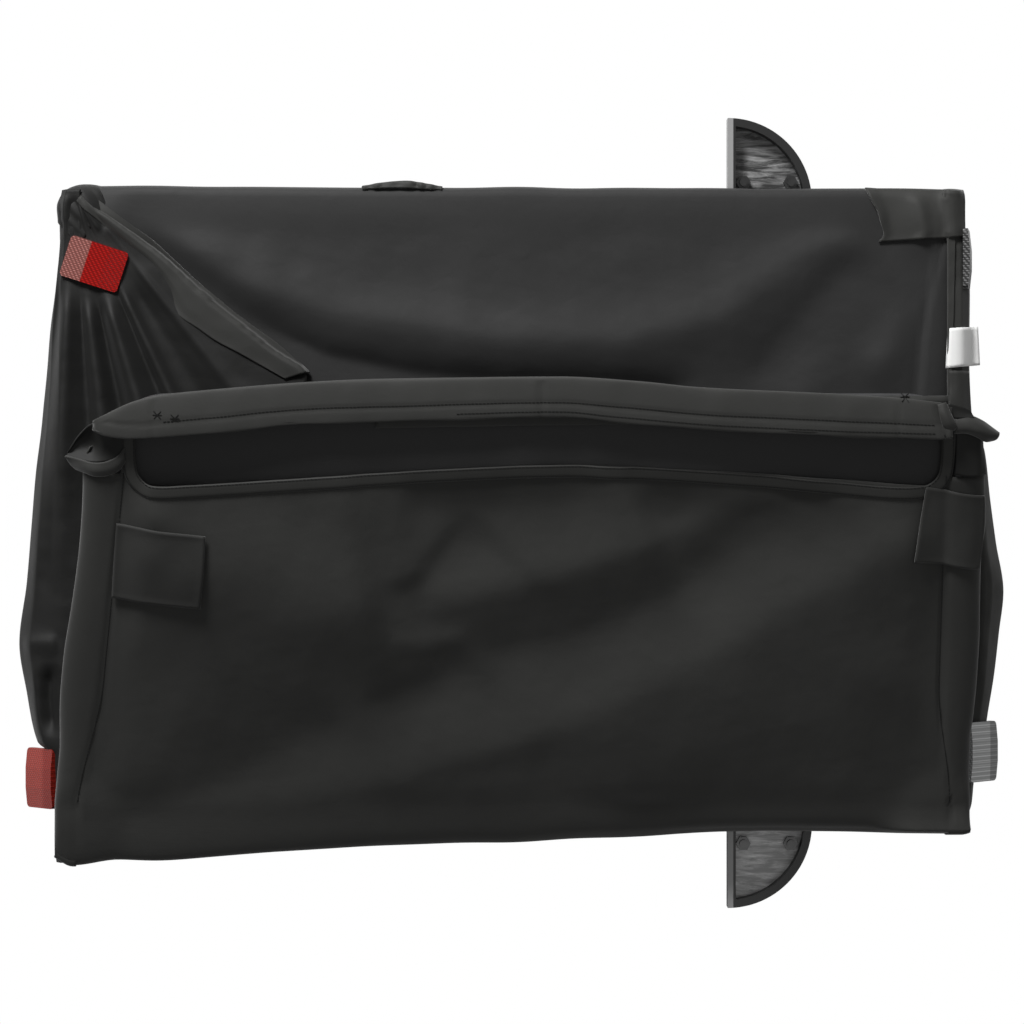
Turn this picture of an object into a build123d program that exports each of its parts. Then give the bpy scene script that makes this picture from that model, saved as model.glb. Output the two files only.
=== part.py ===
from build123d import *

import math
import os

# Folded cargo trailer for a bicycle, wheels taken off, standing on its four corner feet.
# X is forward, Y is left, Z is up; the origin is on the floor under the middle. Millimetres.

# Base frame of square steel tube
frame_length = 904.0
frame_width = 636.0
rail_size = 25.0
rail_wall = 1.5
rail_corner = 3.0
rail_bottom = 38.0
mid_rail_x = -30.0
floor_thickness = 2.0
floor_margin = 3.0

# Corner fittings, their feet and the lugs that hold the side frames
corner_size = 50.0
corner_radius = 8.0
leg_radius = 19.0
foot_radius = 21.0
foot_height = 12.0
foot_taper = 4.0
lug_thickness = 6.0
lug_gap = 2.2
lug_radius = 12.0

# Side frames: one bent tube each, hinged on pins along the base frame
tube_radius = 9.0
tube_wall = 1.5
hoop_inset = 20.0
hoop_lean = 32.0
hoop_bend = 55.0
right_skew = 26.0
left_hinge_rise = 13.0
right_hinge_rise = 45.0
left_frame_height = 418.0
right_frame_height = 434.0
right_rest_angle = 19.0
tube_end = 6.0
pin_radius = 4.0
pin_clearance = 0.06
pin_head_radius = 6.5
pin_head_height = 3.0

# Cloth
cloth = 3.0
seat_gap = 0.3
wall_start = 18.0
window_height = 58.0
window_drop = 18.0
window_inset = 39.0
right_window_lead = 44.0
window_corner = 28.0
band_rear_inset = 2.0
band_front_lead = 16.0
band_rise = 32.0
band_rise_rear = -12.0
band_rise_front = 9.0
band_drop = 10.0
band_drop_rear = 26.0
band_drop_front = 30.0
left_band_rise = 8.0
left_band_drop = 34.0

# End panels of cloth, flat over the left frame when folded
panel_thickness = 2.0
rear_panel_depth = 247.0
front_panel_depth = 205.0
panel_side_margin = 12.0
hem_start_x = 55.0
hem_end_inset = 156.5
front_panel_inset = 193.5

# Slack cloth gathered outside the end rails and along the side rails
bundle_bottom = 56.0
bundle_top = 86.0
bundle_reach = 39.5
bundle_slope = 12.0
bundle_inset = 20.0
bundle_lead_left = 0.12
bundle_lead_right = 0.25
rear_bulge_inset = 186.0
front_bulge_inset = 239.0
front_bundle_left_inset = 113.0
hem_height = 14.0
skirt_bulge = 28.0
skirt_bulge_run = 80.0
skirt_bend = 200.0
left_skirt_bulge = 8.0

# Main folds of the walls: how far each rises, the corners of its foot and those of its crest.
# A corner is a share of the hoops' half width, forward, and of the frame's height, from its hinge.
right_folds = (
    (
        7.0,
        ((-0.80, 0.055), (0.14, 0.14), (0.92, 0.50), (0.92, 0.72), (0.05, 0.35), (-0.69, 0.15)),
        ((-0.67, 0.06), (0.10, 0.25), (0.90, 0.65), (0.90, 0.665), (0.09, 0.27), (-0.68, 0.075)),
    ),
    (
        5.0,
        ((-0.23, 0.51), (0.39, 0.60), (0.49, 0.78), (-0.20, 0.69)),
        ((-0.14, 0.575), (0.35, 0.69), (0.37, 0.71), (-0.13, 0.605)),
    ),
)
left_folds = (
    (
        11.0,
        ((-0.79, 0.055), (0.82, 0.055), (0.86, 0.10), (0.56, 0.38), (0.30, 0.435), (-0.50, 0.365)),
        ((-0.53, 0.25), (0.72, 0.095), (0.75, 0.11), (0.50, 0.27), (0.30, 0.31), (-0.51, 0.28)),
    ),
)

# Wheel guards in front of the wheels
guard_inset = 234.0
guard_radius = 85.0
guard_reach = 81.0
guard_bottom = 40.0
guard_floor = 3.0
guard_rim = 8.0
guard_rim_height = 20.0
guard_bolt_inset = 16.5
guard_bolt_spacing = 48.0
guard_bolt_y = 17.0
bolt_radius = 4.0
bolt_clearance = 0.3
bolt_reach = 10.0
nut_across = 13.0
nut_height = 6.5
bolt_head = 5.3
bracket_length = 68.0
bracket_depth = 25.0

# Wheel axle receivers
receiver_length = 44.0
receiver_bottom = 8.0
receiver_corner = 4.0
axle_radius = 6.35
axle_depth = 26.0
axle_z = 22.0

# Tow arm, folded under the base
arm_radius = 11.0
arm_wall = 2.0
arm_inset = 12.0
arm_pivot_inset = 98.0
arm_z = 19.0
arm_jog = 125.0
arm_first_run = 250.0
arm_second_run = 210.0
arm_third_run = 170.0
arm_bend = 90.0
arm_tail = 9.0
tow_gap = 1.0
tow_plate = 4.0
tow_plate_length = 34.0
tow_plate_bottom = 7.0
coupler_length = 46.0
coupler_width = 30.0
coupler_height = 20.0
coupler_corner = 6.0
hitch_radius = 5.0
hitch_inset = 14.0

# Reflectors
reflector_length = 60.0
reflector_width = 42.0
reflector_thickness = 7.0
reflector_slope = 2.2
reflector_corner = 4.0
rear_left_inset = 35.0
rear_left_drop = 45.0
rear_left_turn = -18.0

# Reflectors of the ends: name, end, side, out from the end rail, in from the side rail's
# face, below the bundle's top, tilt
end_reflectors = (
    ("reflector_rear_right", -1, -1, 18.3, 52.0, 8.3, 45.0),
    ("reflector_front_right", 1, -1, 17.0, 79.0, 3.9, 45.0),
    ("reflector_front_left", 1, 1, 1.1, 64.0, 3.0, 11.0),
)

os.makedirs("parts", exist_ok=True)

half_length = frame_length / 2
half_width = frame_width / 2
rail_top = rail_bottom + rail_size
rail_mid = rail_bottom + rail_size / 2
rail_x = half_length - rail_size / 2
rail_y = half_width - rail_size / 2
hinge_y = rail_y
left_hinge_z = rail_top + left_hinge_rise
right_hinge_z = rail_top + right_hinge_rise
hoop_foot = half_length - hoop_inset
hoop_top = hoop_foot - hoop_lean
window_reach = hoop_top - window_inset
band_rear = hoop_top - band_rear_inset
band_front = hoop_top + band_front_lead


def save(piece, name):
    """Label a finished piece and write it as its own STEP file."""
    piece.part.label = name
    export_step(piece.part, f"parts/{name}.step")


def square_tube(plane, length):
    """Square tube centred on the plane's origin, along the plane's normal."""
    bore = rail_size - 2 * rail_wall
    with BuildPart() as tube:
        with BuildSketch(plane.offset(-length / 2)):
            RectangleRounded(rail_size, rail_size, rail_corner)
            RectangleRounded(bore, bore, rail_corner - rail_wall, mode=Mode.SUBTRACT)
        extrude(amount=length)
    return tube


# --- Base frame rails -------------------------------------------------------
for side, sign in (("left", 1), ("right", -1)):
    side_plane = Plane((0, sign * rail_y, rail_mid), x_dir=(0, 1, 0), z_dir=(1, 0, 0))
    side_rail = square_tube(side_plane, frame_length - 2 * corner_size)
    save(side_rail, f"side_rail_{side}")

for end, sign in (("front", 1), ("rear", -1)):
    end_plane = Plane((sign * rail_x, 0, rail_mid), x_dir=(1, 0, 0), z_dir=(0, 1, 0))
    cross_rail = square_tube(end_plane, frame_width - 2 * corner_size)
    save(cross_rail, f"cross_rail_{end}")

mid_plane = Plane((mid_rail_x, 0, rail_mid), x_dir=(1, 0, 0), z_dir=(0, 1, 0))
mid_rail = square_tube(mid_plane, frame_width - 2 * rail_size)
save(mid_rail, "cross_rail_mid")

# --- Corner fittings with their lugs, pins and feet ---------------------------
lug_inner = hoop_foot - tube_radius - lug_gap - lug_thickness
lug_outer = hoop_foot + tube_radius + lug_gap
pin_length = lug_outer - lug_inner + lug_thickness + 2 * seat_gap

for side, side_sign, hinge_z in (("left", 1, left_hinge_z), ("right", -1, right_hinge_z)):
    lug_y = side_sign * hinge_y
    for end, end_sign in (("front", 1), ("rear", -1)):
        block_x = end_sign * (half_length - corner_size / 2)
        block_y = side_sign * (half_width - corner_size / 2)
        with BuildPart() as corner:
            with BuildSketch(Plane.XY.offset(rail_bottom)):
                with Locations((block_x, block_y)):
                    RectangleRounded(corner_size, corner_size, corner_radius)
            extrude(amount=rail_size)
            with BuildSketch(Plane.XY.offset(foot_height)):
                with Locations((block_x, block_y)):
                    Circle(leg_radius)
            extrude(amount=rail_bottom - foot_height)
            for near in (lug_inner, lug_outer):
                lug_low = near if end_sign > 0 else -near - lug_thickness
                with BuildSketch(Plane.YZ.offset(lug_low)):
                    with Locations((lug_y, hinge_z)):
                        Circle(lug_radius)
                    with Locations((lug_y, (rail_top + hinge_z) / 2)):
                        Rectangle(2 * lug_radius, hinge_z - rail_top)
                    with Locations((lug_y, hinge_z)):
                        Circle(pin_radius + pin_clearance, mode=Mode.SUBTRACT)
                extrude(amount=lug_thickness)
        save(corner, f"corner_{end}_{side}")

    with BuildPart() as pins:
        for end_sign in (1, -1):
            pin_start = end_sign * (lug_outer + lug_thickness + seat_gap)
            with BuildSketch(Plane.YZ.offset(pin_start)):
                with Locations((lug_y, hinge_z)):
                    Circle(pin_radius)
            extrude(amount=-end_sign * pin_length)
            with BuildSketch(Plane.YZ.offset(pin_start)):
                with Locations((lug_y, hinge_z)):
                    Circle(pin_head_radius)
            extrude(amount=end_sign * pin_head_height)
    save(pins, f"hinge_pins_{side}")

with BuildPart() as feet:
    with BuildSketch(Plane.XY):
        with GridLocations(frame_length - corner_size, frame_width - corner_size, 2, 2):
            Circle(foot_radius)
    extrude(amount=foot_height, taper=foot_taper)
save(feet, "feet")

# --- Cloth floor over the rails ------------------------------------------------
corner_cut = corner_size + 2 * seat_gap
with BuildPart() as floor_panel:
    with BuildSketch(Plane.XY.offset(rail_top)):
        Rectangle(frame_length - 2 * floor_margin, frame_width - 2 * floor_margin)
        with GridLocations(frame_length - corner_size, frame_width - corner_size, 2, 2):
            Rectangle(corner_cut, corner_cut, mode=Mode.SUBTRACT)
    extrude(amount=floor_thickness)
save(floor_panel, "floor_panel")

# --- Axle receivers ------------------------------------------------------------
for side, sign in (("left", 1), ("right", -1)):
    with BuildPart() as receiver:
        with BuildSketch(Plane.XZ.offset(-sign * half_width)):
            with Locations((mid_rail_x, (rail_bottom + receiver_bottom) / 2)):
                RectangleRounded(receiver_length, rail_bottom - receiver_bottom, receiver_corner)
            with Locations((mid_rail_x, axle_z)):
                Circle(axle_radius, mode=Mode.SUBTRACT)
        extrude(amount=sign * axle_depth)
    save(receiver, f"axle_receiver_{side}")

# --- Wheel guards ----------------------------------------------------------------
guard_x = half_length - guard_inset
guard_outer_y = half_width + guard_reach
guard_centre_y = guard_outer_y - guard_radius
guard_inner_y = half_width + seat_gap
bolt_y = half_width + guard_bolt_y
first_bolt_x = guard_x + guard_bolt_inset
bolt_points = [(first_bolt_x, bolt_y), (first_bolt_x + guard_bolt_spacing, bolt_y)]


def quarter_disc(sign, inset):
    """Quarter disc ahead of the guard's straight edge, cut back from its edges by inset."""
    Circle(guard_radius - inset)
    side = 2 * guard_radius
    with Locations((-guard_radius + inset, 0)):
        Rectangle(side, side, mode=Mode.SUBTRACT)
    with Locations((0, sign * (guard_inner_y - guard_centre_y - guard_radius))):
        Rectangle(side, side, mode=Mode.SUBTRACT)


for side, sign in (("left", 1), ("right", -1)):
    guard_points = [(x, sign * y) for x, y in bolt_points]
    disc_centre = (guard_x, sign * guard_centre_y)
    with BuildPart() as guard:
        with BuildSketch(Plane.XY.offset(guard_bottom)):
            with BuildSketch(mode=Mode.PRIVATE) as disc:
                quarter_disc(sign, 0)
            add(disc.sketch.moved(Location((*disc_centre, 0))))
        extrude(amount=guard_rim_height)
        with BuildSketch(Plane.XY.offset(guard_bottom + guard_floor)):
            with BuildSketch(mode=Mode.PRIVATE) as tray:
                quarter_disc(sign, guard_rim)
            add(tray.sketch.moved(Location((*disc_centre, 0))))
        extrude(amount=guard_rim_height, mode=Mode.SUBTRACT)
        with BuildSketch(Plane.XY.offset(guard_bottom)):
            with Locations(*guard_points):
                Circle(bolt_radius + bolt_clearance)
        extrude(amount=guard_floor, mode=Mode.SUBTRACT)
    save(guard, f"wheel_guard_{side}")

    bracket_x = first_bolt_x + guard_bolt_spacing / 2
    bracket_y = sign * (half_width + bracket_depth / 2)
    with BuildPart() as bracket:
        with BuildSketch(Plane.XY.offset(guard_bottom)):
            with Locations((bracket_x, bracket_y)):
                Rectangle(bracket_length, bracket_depth)
            with Locations(*guard_points):
                Circle(bolt_radius + bolt_clearance, mode=Mode.SUBTRACT)
        extrude(amount=-guard_floor)
    save(bracket, f"guard_bracket_{side}")

    with BuildPart() as bolts:
        with BuildSketch(Plane.XY.offset(guard_bottom + guard_floor)):
            with Locations(*guard_points):
                RegularPolygon(nut_across / 2, 6, major_radius=False)
        extrude(amount=nut_height)
        with BuildSketch(Plane.XY.offset(guard_bottom - guard_floor)):
            with Locations(*guard_points):
                Circle(bolt_radius)
        extrude(amount=2 * guard_floor + bolt_reach)
        with BuildSketch(Plane.XY.offset(guard_bottom - guard_floor)):
            with Locations(*guard_points):
                RegularPolygon(nut_across / 2, 6, major_radius=False)
        extrude(amount=-bolt_head)
    save(bolts, f"guard_bolts_{side}")


# --- Side frames: hoop, cloth wall, mesh window and top band -----------------------
def side_frame(side, plane, height, rear, skew, window_front, over, under, folds):
    """Hoop and cloth of one side, on a plane whose Y runs from the hinge to the top rail.

    rear is the plane's X sign towards the trailer's rear. over and under hold the band's
    reach past the top rail's centre line and short of it, at the rear, middle and front.
    folds are raised on the wall's outside.
    """
    front = -rear
    lean = hoop_lean / height
    rear_top = rear * (hoop_top - skew)
    front_top = front * (hoop_top + skew)
    rear_foot = rear * (hoop_foot + (lean + skew / height) * tube_end)
    front_foot = front * (hoop_foot + (lean - skew / height) * tube_end)
    with BuildPart() as hoop:
        with BuildLine(plane) as hoop_path:
            FilletPolyline(
                (rear_foot, -tube_end),
                (rear_top, height),
                (front_top, height),
                (front_foot, -tube_end),
                radius=hoop_bend,
            )
        start_plane = Plane(
            origin=hoop_path.line @ 0, x_dir=plane.z_dir, z_dir=hoop_path.line % 0
        )
        with BuildSketch(start_plane):
            Circle(tube_radius)
            Circle(tube_radius - tube_wall, mode=Mode.SUBTRACT)
        sweep()
        reach = hoop_foot + 2 * tube_radius
        across = Plane(origin=plane.origin, x_dir=plane.y_dir, z_dir=plane.x_dir)
        with BuildSketch(across.offset(-reach)):
            Circle(pin_radius + pin_clearance)
        extrude(amount=2 * reach, mode=Mode.SUBTRACT)
    save(hoop, f"side_hoop_{side}")

    sleeve_inner = tube_radius + seat_gap
    sleeve_outer = sleeve_inner + cloth
    rear_start = rear * (hoop_foot - (lean + skew / height) * wall_start)
    front_start = front * (hoop_foot - (lean - skew / height) * wall_start)
    window_x = rear * (window_reach - window_front) / 2
    window_y = height - window_drop - window_height / 2
    window_length = window_reach + window_front
    wall_plane = plane.offset(sleeve_inner)
    with BuildPart() as wall:
        with BuildSketch(wall_plane):
            with BuildLine():
                edge = FilletPolyline(
                    (rear_start - rear * seat_gap, wall_start),
                    (rear_top - rear * seat_gap, height - seat_gap),
                    (front_top - front * seat_gap, height - seat_gap),
                    (front_start - front * seat_gap, wall_start),
                    radius=hoop_bend - seat_gap,
                )
                Line(edge @ 1, edge @ 0)
            make_face()
            with Locations((window_x, window_y)):
                RectangleRounded(window_length, window_height, window_corner, mode=Mode.SUBTRACT)
        extrude(amount=cloth)
        for rise, foot, crest in folds:
            for level, corners in ((0, foot), (cloth + rise, crest)):
                with BuildSketch(wall_plane.offset(level)):
                    Polygon(*((front * x * hoop_foot, y * height) for x, y in corners), align=None)
            loft(ruled=True)
    save(wall, f"side_wall_{side}")

    with BuildPart() as sleeve:
        with BuildLine(plane) as sleeve_path:
            FilletPolyline(
                (rear_start, wall_start),
                (rear_top, height),
                (front_top, height),
                (front_start, wall_start),
                radius=hoop_bend,
            )
        sleeve_plane = Plane(
            origin=sleeve_path.line @ 0, x_dir=plane.z_dir, z_dir=sleeve_path.line % 0
        )
        with BuildSketch(sleeve_plane):
            Circle(sleeve_outer)
            Circle(sleeve_inner, mode=Mode.SUBTRACT)
            with Locations((-sleeve_outer, 0), (0, -rear * sleeve_outer)):
                Rectangle(2 * sleeve_outer, 2 * sleeve_outer, mode=Mode.SUBTRACT)
        sweep()
    save(sleeve, f"side_sleeve_{side}")

    with BuildPart() as window:
        with BuildSketch(wall_plane):
            with Locations((window_x, window_y)):
                RectangleRounded(
                    window_length - 2 * seat_gap,
                    window_height - 2 * seat_gap,
                    window_corner - seat_gap,
                )
        extrude(amount=cloth / 2)
    save(window, f"window_{side}")

    with BuildPart() as band:
        with BuildSketch(wall_plane.offset(cloth + seat_gap)):
            with BuildLine():
                upper = Spline(
                    (rear * band_rear, height + over[0]),
                    (0, height + over[1]),
                    (front * band_front, height + over[2]),
                )
                lower = Spline(
                    (rear * band_rear, height - under[0]),
                    (0, height - under[1]),
                    (front * band_front, height - under[2]),
                )
                Line(upper @ 0, lower @ 0)
                Line(upper @ 1, lower @ 1)
            make_face()
        extrude(amount=cloth)
    save(band, f"top_band_{side}")


rest = math.radians(right_rest_angle)
right_plane = Plane(
    origin=(0, -hinge_y, right_hinge_z),
    x_dir=(1, 0, 0),
    z_dir=(0, -math.sin(rest), math.cos(rest)),
)
left_plane = Plane(origin=(0, hinge_y, left_hinge_z), x_dir=(-1, 0, 0), z_dir=(0, 0, 1))
side_frame(
    "right",
    right_plane,
    right_frame_height,
    -1,
    right_skew,
    window_reach + right_window_lead,
    (band_rise_rear, band_rise, band_rise_front),
    (band_drop_rear, band_drop, band_drop_front),
    right_folds,
)
side_frame(
    "left",
    left_plane,
    left_frame_height,
    1,
    0,
    window_reach,
    (band_rise_rear, left_band_rise, band_rise_rear),
    (left_band_drop, left_band_drop, left_band_drop),
    left_folds,
)

# --- Side skirts: cloth fixed along the side rails ------------------------------------
skirt_bottom = guard_bottom + guard_rim_height + seat_gap
skirt_length = half_length - bundle_inset

for side, sign, hinge_z, bulge in (
    ("left", 1, left_hinge_z, left_skirt_bulge),
    ("right", -1, right_hinge_z, skirt_bulge),
):
    skirt_face = sign * (half_width + seat_gap)
    with BuildPart() as skirt:
        with BuildSketch(Plane.XY.offset(skirt_bottom)):
            with BuildLine():
                slack = FilletPolyline(
                    (-skirt_length, skirt_face + sign * bulge / 3),
                    (-skirt_length + skirt_bulge_run, skirt_face + sign * bulge),
                    (skirt_length, skirt_face + sign * cloth),
                    radius=skirt_bend,
                )
                Polyline(
                    slack @ 0,
                    (-skirt_length, skirt_face),
                    (skirt_length, skirt_face),
                    slack @ 1,
                )
            make_face()
        extrude(amount=hinge_z - skirt_bottom)
    save(skirt, f"side_skirt_{side}")

# --- End bundles: slack cloth gathered outside the end rails ---------------------------
bundle_half_width = half_width - bundle_inset


def end_bundle(name, sign, bulge_y, left_end):
    """Slack cloth outside one end rail, widest at bulge_y and thin from left_end on."""
    near = half_length + seat_gap
    with BuildPart() as bundle:
        with BuildSketch(Plane.XY.offset(bundle_bottom)):
            with BuildLine():
                outline = Spline(
                    (sign * (near + cloth), left_end),
                    (sign * (half_length + bundle_reach), bulge_y),
                    (sign * (near + cloth), -bundle_half_width),
                    tangents=(
                        (sign * bundle_lead_left, -1),
                        (0, -1),
                        (-sign * bundle_lead_right, -1),
                    ),
                )
                Polyline(
                    outline @ 0,
                    (sign * near, left_end),
                    (sign * near, -bundle_half_width),
                    outline @ 1,
                )
            make_face()
        extrude(amount=bundle_top - bundle_bottom)
        crown = bundle.edges().group_by(Axis.Z)[-1].filter_by(GeomType.BSPLINE)
        chamfer(crown, bundle_slope)
        if left_end < bundle_half_width:
            with BuildSketch(Plane.XY.offset(bundle_bottom)):
                with Locations((sign * (near + cloth / 2), (left_end + bundle_half_width) / 2)):
                    Rectangle(cloth, bundle_half_width - left_end)
            extrude(amount=hem_height)
    save(bundle, name)


end_bundle("end_bundle_rear", -1, -half_width + rear_bulge_inset, bundle_half_width)
end_bundle(
    "end_bundle_front",
    1,
    -half_width + front_bulge_inset,
    half_width - front_bundle_left_inset,
)

# --- End panels: flat on the left frame when folded, upright when opened --------------
panel_z = left_hinge_z + tube_radius + 2 * (cloth + seat_gap) + seat_gap
panel_y = hinge_y - panel_side_margin
rear_inner_x = -half_length + rear_panel_depth
front_inner_x = half_length - front_panel_depth

with BuildPart() as rear_panel:
    with BuildSketch(Plane.XY.offset(panel_z)):
        Polygon(
            (-half_length, panel_y),
            (-half_length, -panel_y),
            (rear_inner_x, -panel_y),
            (rear_inner_x, panel_y - hem_end_inset),
            (-half_length + hem_start_x, panel_y),
            align=None,
        )
    extrude(amount=panel_thickness)
save(rear_panel, "rear_panel")

with BuildPart() as front_panel:
    with BuildSketch(Plane.XY.offset(panel_z)):
        Polygon(
            (half_length, panel_y - front_panel_inset),
            (half_length, -panel_y),
            (front_inner_x, -panel_y),
            (front_inner_x, panel_y - front_panel_inset),
            align=None,
        )
    extrude(amount=panel_thickness)
save(front_panel, "front_panel")


# --- Reflectors --------------------------------------------------------------------
def reflector(name, plane):
    """Wide-angle reflector: three facets along the plane's X, the outer two sloping back."""
    half = reflector_length / 2
    third = reflector_length / 6
    low = reflector_thickness - reflector_slope
    side_plane = Plane(origin=plane.origin, x_dir=plane.x_dir, z_dir=-plane.y_dir)
    with BuildPart() as lens:
        with BuildSketch(side_plane.offset(-reflector_width / 2)):
            Polygon(
                (-half, 0),
                (half, 0),
                (half, low),
                (third, reflector_thickness),
                (-third, reflector_thickness),
                (-half, low),
                align=None,
            )
        extrude(amount=reflector_width)
        fillet(lens.edges().filter_by(Axis(plane.origin, plane.z_dir)), reflector_corner)
    save(lens, name)


def tilted(angle, end_sign):
    """Unit vector at this angle above the horizontal, facing the end."""
    lift = math.radians(angle)
    return (end_sign * math.cos(lift), 0, math.sin(lift))


turn = math.radians(rear_left_turn)
reflector(
    "reflector_rear_left",
    Plane(
        origin=(
            -half_length + rear_left_inset,
            panel_y - rear_left_drop,
            panel_z + panel_thickness + seat_gap,
        ),
        x_dir=(math.cos(turn), math.sin(turn), 0),
        z_dir=(0, 0, 1),
    ),
)
for name, end_sign, side_sign, outset, inset, drop, angle in end_reflectors:
    reflector(
        name,
        Plane(
            origin=(
                end_sign * (half_length + outset),
                side_sign * (half_width - inset),
                bundle_top - drop,
            ),
            x_dir=(0, 1, 0),
            z_dir=tilted(angle, end_sign),
        ),
    )

# --- Tow arm, its bracket and its coupler ------------------------------------------------
arm_pivot_x = half_length - arm_inset
arm_pivot_y = half_width - arm_pivot_inset
arm_end_y = arm_pivot_y - arm_jog
tow_half_gap = arm_radius + tow_gap
tow_half_width = tow_half_gap + tow_plate
with BuildPart() as tow_bracket:
    for inner_y in (arm_pivot_y - tow_half_width, arm_pivot_y + tow_half_gap):
        with BuildSketch(Plane.XZ.offset(-inner_y)):
            with Locations((arm_pivot_x, (rail_bottom + tow_plate_bottom) / 2)):
                Rectangle(tow_plate_length, rail_bottom - tow_plate_bottom)
            with Locations((arm_pivot_x, arm_z)):
                Circle(pin_radius + pin_clearance, mode=Mode.SUBTRACT)
        extrude(amount=-tow_plate)
    with BuildSketch(Plane.XY.offset(rail_bottom)):
        with Locations((arm_pivot_x, arm_pivot_y)):
            Rectangle(tow_plate_length, 2 * tow_half_width)
    extrude(amount=-tow_plate)
save(tow_bracket, "tow_bracket")

tow_pin_reach = tow_half_width + seat_gap
with BuildPart() as tow_pin:
    with BuildSketch(Plane.XZ.offset(-(arm_pivot_y - tow_pin_reach))):
        with Locations((arm_pivot_x, arm_z)):
            Circle(pin_radius)
    extrude(amount=-2 * tow_pin_reach)
    with BuildSketch(Plane.XZ.offset(-(arm_pivot_y + tow_pin_reach))):
        with Locations((arm_pivot_x, arm_z)):
            Circle(pin_head_radius)
    extrude(amount=-pin_head_height)
save(tow_pin, "tow_pin")

arm_bend_x = arm_pivot_x - arm_first_run
arm_straight_x = arm_bend_x - arm_second_run
arm_end_x = arm_straight_x - arm_third_run
with BuildPart() as tow_arm:
    with BuildLine(Plane.XY.offset(arm_z)) as arm_path:
        FilletPolyline(
            (arm_pivot_x + arm_tail, arm_pivot_y),
            (arm_bend_x, arm_pivot_y),
            (arm_straight_x, arm_end_y),
            (arm_end_x, arm_end_y),
            radius=arm_bend,
        )
    with BuildSketch(Plane(origin=arm_path.line @ 0, z_dir=arm_path.line % 0)):
        Circle(arm_radius)
        Circle(arm_radius - arm_wall, mode=Mode.SUBTRACT)
    sweep()
    with BuildSketch(Plane.XZ.offset(-(arm_pivot_y - 2 * arm_radius))):
        with Locations((arm_pivot_x, arm_z)):
            Circle(pin_radius + pin_clearance)
    extrude(amount=-4 * arm_radius, mode=Mode.SUBTRACT)
save(tow_arm, "tow_arm")

coupler_x = arm_end_x - coupler_length / 2
hitch_x = arm_end_x - coupler_length + hitch_inset
with BuildPart() as coupler:
    with BuildSketch(Plane.XY.offset(arm_z - coupler_height / 2)):
        with Locations((coupler_x, arm_end_y)):
            RectangleRounded(coupler_length, coupler_width, coupler_corner)
    extrude(amount=coupler_height)
    with BuildSketch(Plane.XZ.offset(-(arm_end_y - coupler_width / 2))):
        with Locations((hitch_x, arm_z)):
            Circle(hitch_radius)
    extrude(amount=-coupler_width, mode=Mode.SUBTRACT)
save(coupler, "coupler_head")
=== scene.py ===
# %% [markdown]
# # A folded cargo trailer for a bicycle
# The trailer lies folded flat on its four feet, wheels off. Its steel base and bent side tubes come
# from the CAD frame. What gives it its look is cloth: a wall over each side tube, a rain flap over
# a mesh window, slack end cloth that bulges out over the end rails, sewn tabs and stitching.
# We load the frame first, because every piece of cloth hangs on a body of it.

import math

import bmesh
import bpy
import numpy as np
from mathutils import Matrix, Vector
from mathutils.bvhtree import BVHTree


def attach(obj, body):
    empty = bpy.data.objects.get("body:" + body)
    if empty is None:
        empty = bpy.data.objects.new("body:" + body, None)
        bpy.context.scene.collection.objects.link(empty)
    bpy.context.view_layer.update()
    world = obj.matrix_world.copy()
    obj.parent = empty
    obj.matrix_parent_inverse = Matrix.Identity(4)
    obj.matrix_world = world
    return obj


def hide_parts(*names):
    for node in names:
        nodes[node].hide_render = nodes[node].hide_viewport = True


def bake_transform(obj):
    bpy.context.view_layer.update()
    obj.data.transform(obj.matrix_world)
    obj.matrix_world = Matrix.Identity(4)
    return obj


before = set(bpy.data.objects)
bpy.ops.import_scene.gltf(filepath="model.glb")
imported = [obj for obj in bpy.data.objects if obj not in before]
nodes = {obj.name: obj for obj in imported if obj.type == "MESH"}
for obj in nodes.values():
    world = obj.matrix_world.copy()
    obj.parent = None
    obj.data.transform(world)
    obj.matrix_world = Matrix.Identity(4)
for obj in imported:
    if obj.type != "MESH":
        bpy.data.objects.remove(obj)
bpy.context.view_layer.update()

# %% [markdown]
# ## Camera
# The trailer is looked at from straight above, from about the height of a ceiling, with a long lens,
# so that near and far parts keep nearly the same scale.

# %% Camera above the trailer
eye_height = 3.2
lens = bpy.data.cameras.new("camera")
lens.lens = 109.3
lens.sensor_width = 36.0
camera = bpy.data.objects.new("camera", lens)
camera.location = (0.0, 0.001, eye_height)
bpy.context.scene.collection.objects.link(camera)
bpy.context.scene.camera = camera
print("camera at", tuple(camera.location))

# %% [markdown]
# ## Materials
# The black polyester reads as a very dark grey with a soft sheen. A weave of about a millimetre
# lives in the bump, and a slow mottling keeps large panels from looking like plastic. The pattern
# follows a UV map named Flat, which holds each piece's own flat cut in metres, so the weave runs
# with the cloth round every fold. An image of a weave would do as well, but nodes need no file and
# stay sharp from near and far.

# %% Helpers for node materials
def new_material(name):
    """A material with its shader and a function that adds nodes to it."""
    material = bpy.data.materials.new(name)
    material.use_nodes = True
    tree = material.node_tree
    shader = tree.nodes["Principled BSDF"]

    def add(kind, **values):
        node = tree.nodes.new(kind)
        for key, value in values.items():
            if key in node.inputs:
                node.inputs[key].default_value = value
            else:
                setattr(node, key, value)
        return node

    return material, tree, shader, add


def rgb(value, warm=1.0):
    """A grey of this linear value, with less blue where warm is above 1."""
    return (value, value * (1 + 0.2 * (warm - 1)), value * (1 - 2.2 * (warm - 1)), 1.0)


def two_tones(add, tree, factor, dark, light, low=0.35, high=0.65):
    """A colour ramp between two colours, driven by factor."""
    ramp = add("ShaderNodeValToRGB")
    ramp.color_ramp.elements[0].position = low
    ramp.color_ramp.elements[0].color = dark
    ramp.color_ramp.elements[1].position = high
    ramp.color_ramp.elements[1].color = light
    tree.links.new(factor, ramp.inputs["Fac"])
    return ramp


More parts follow.
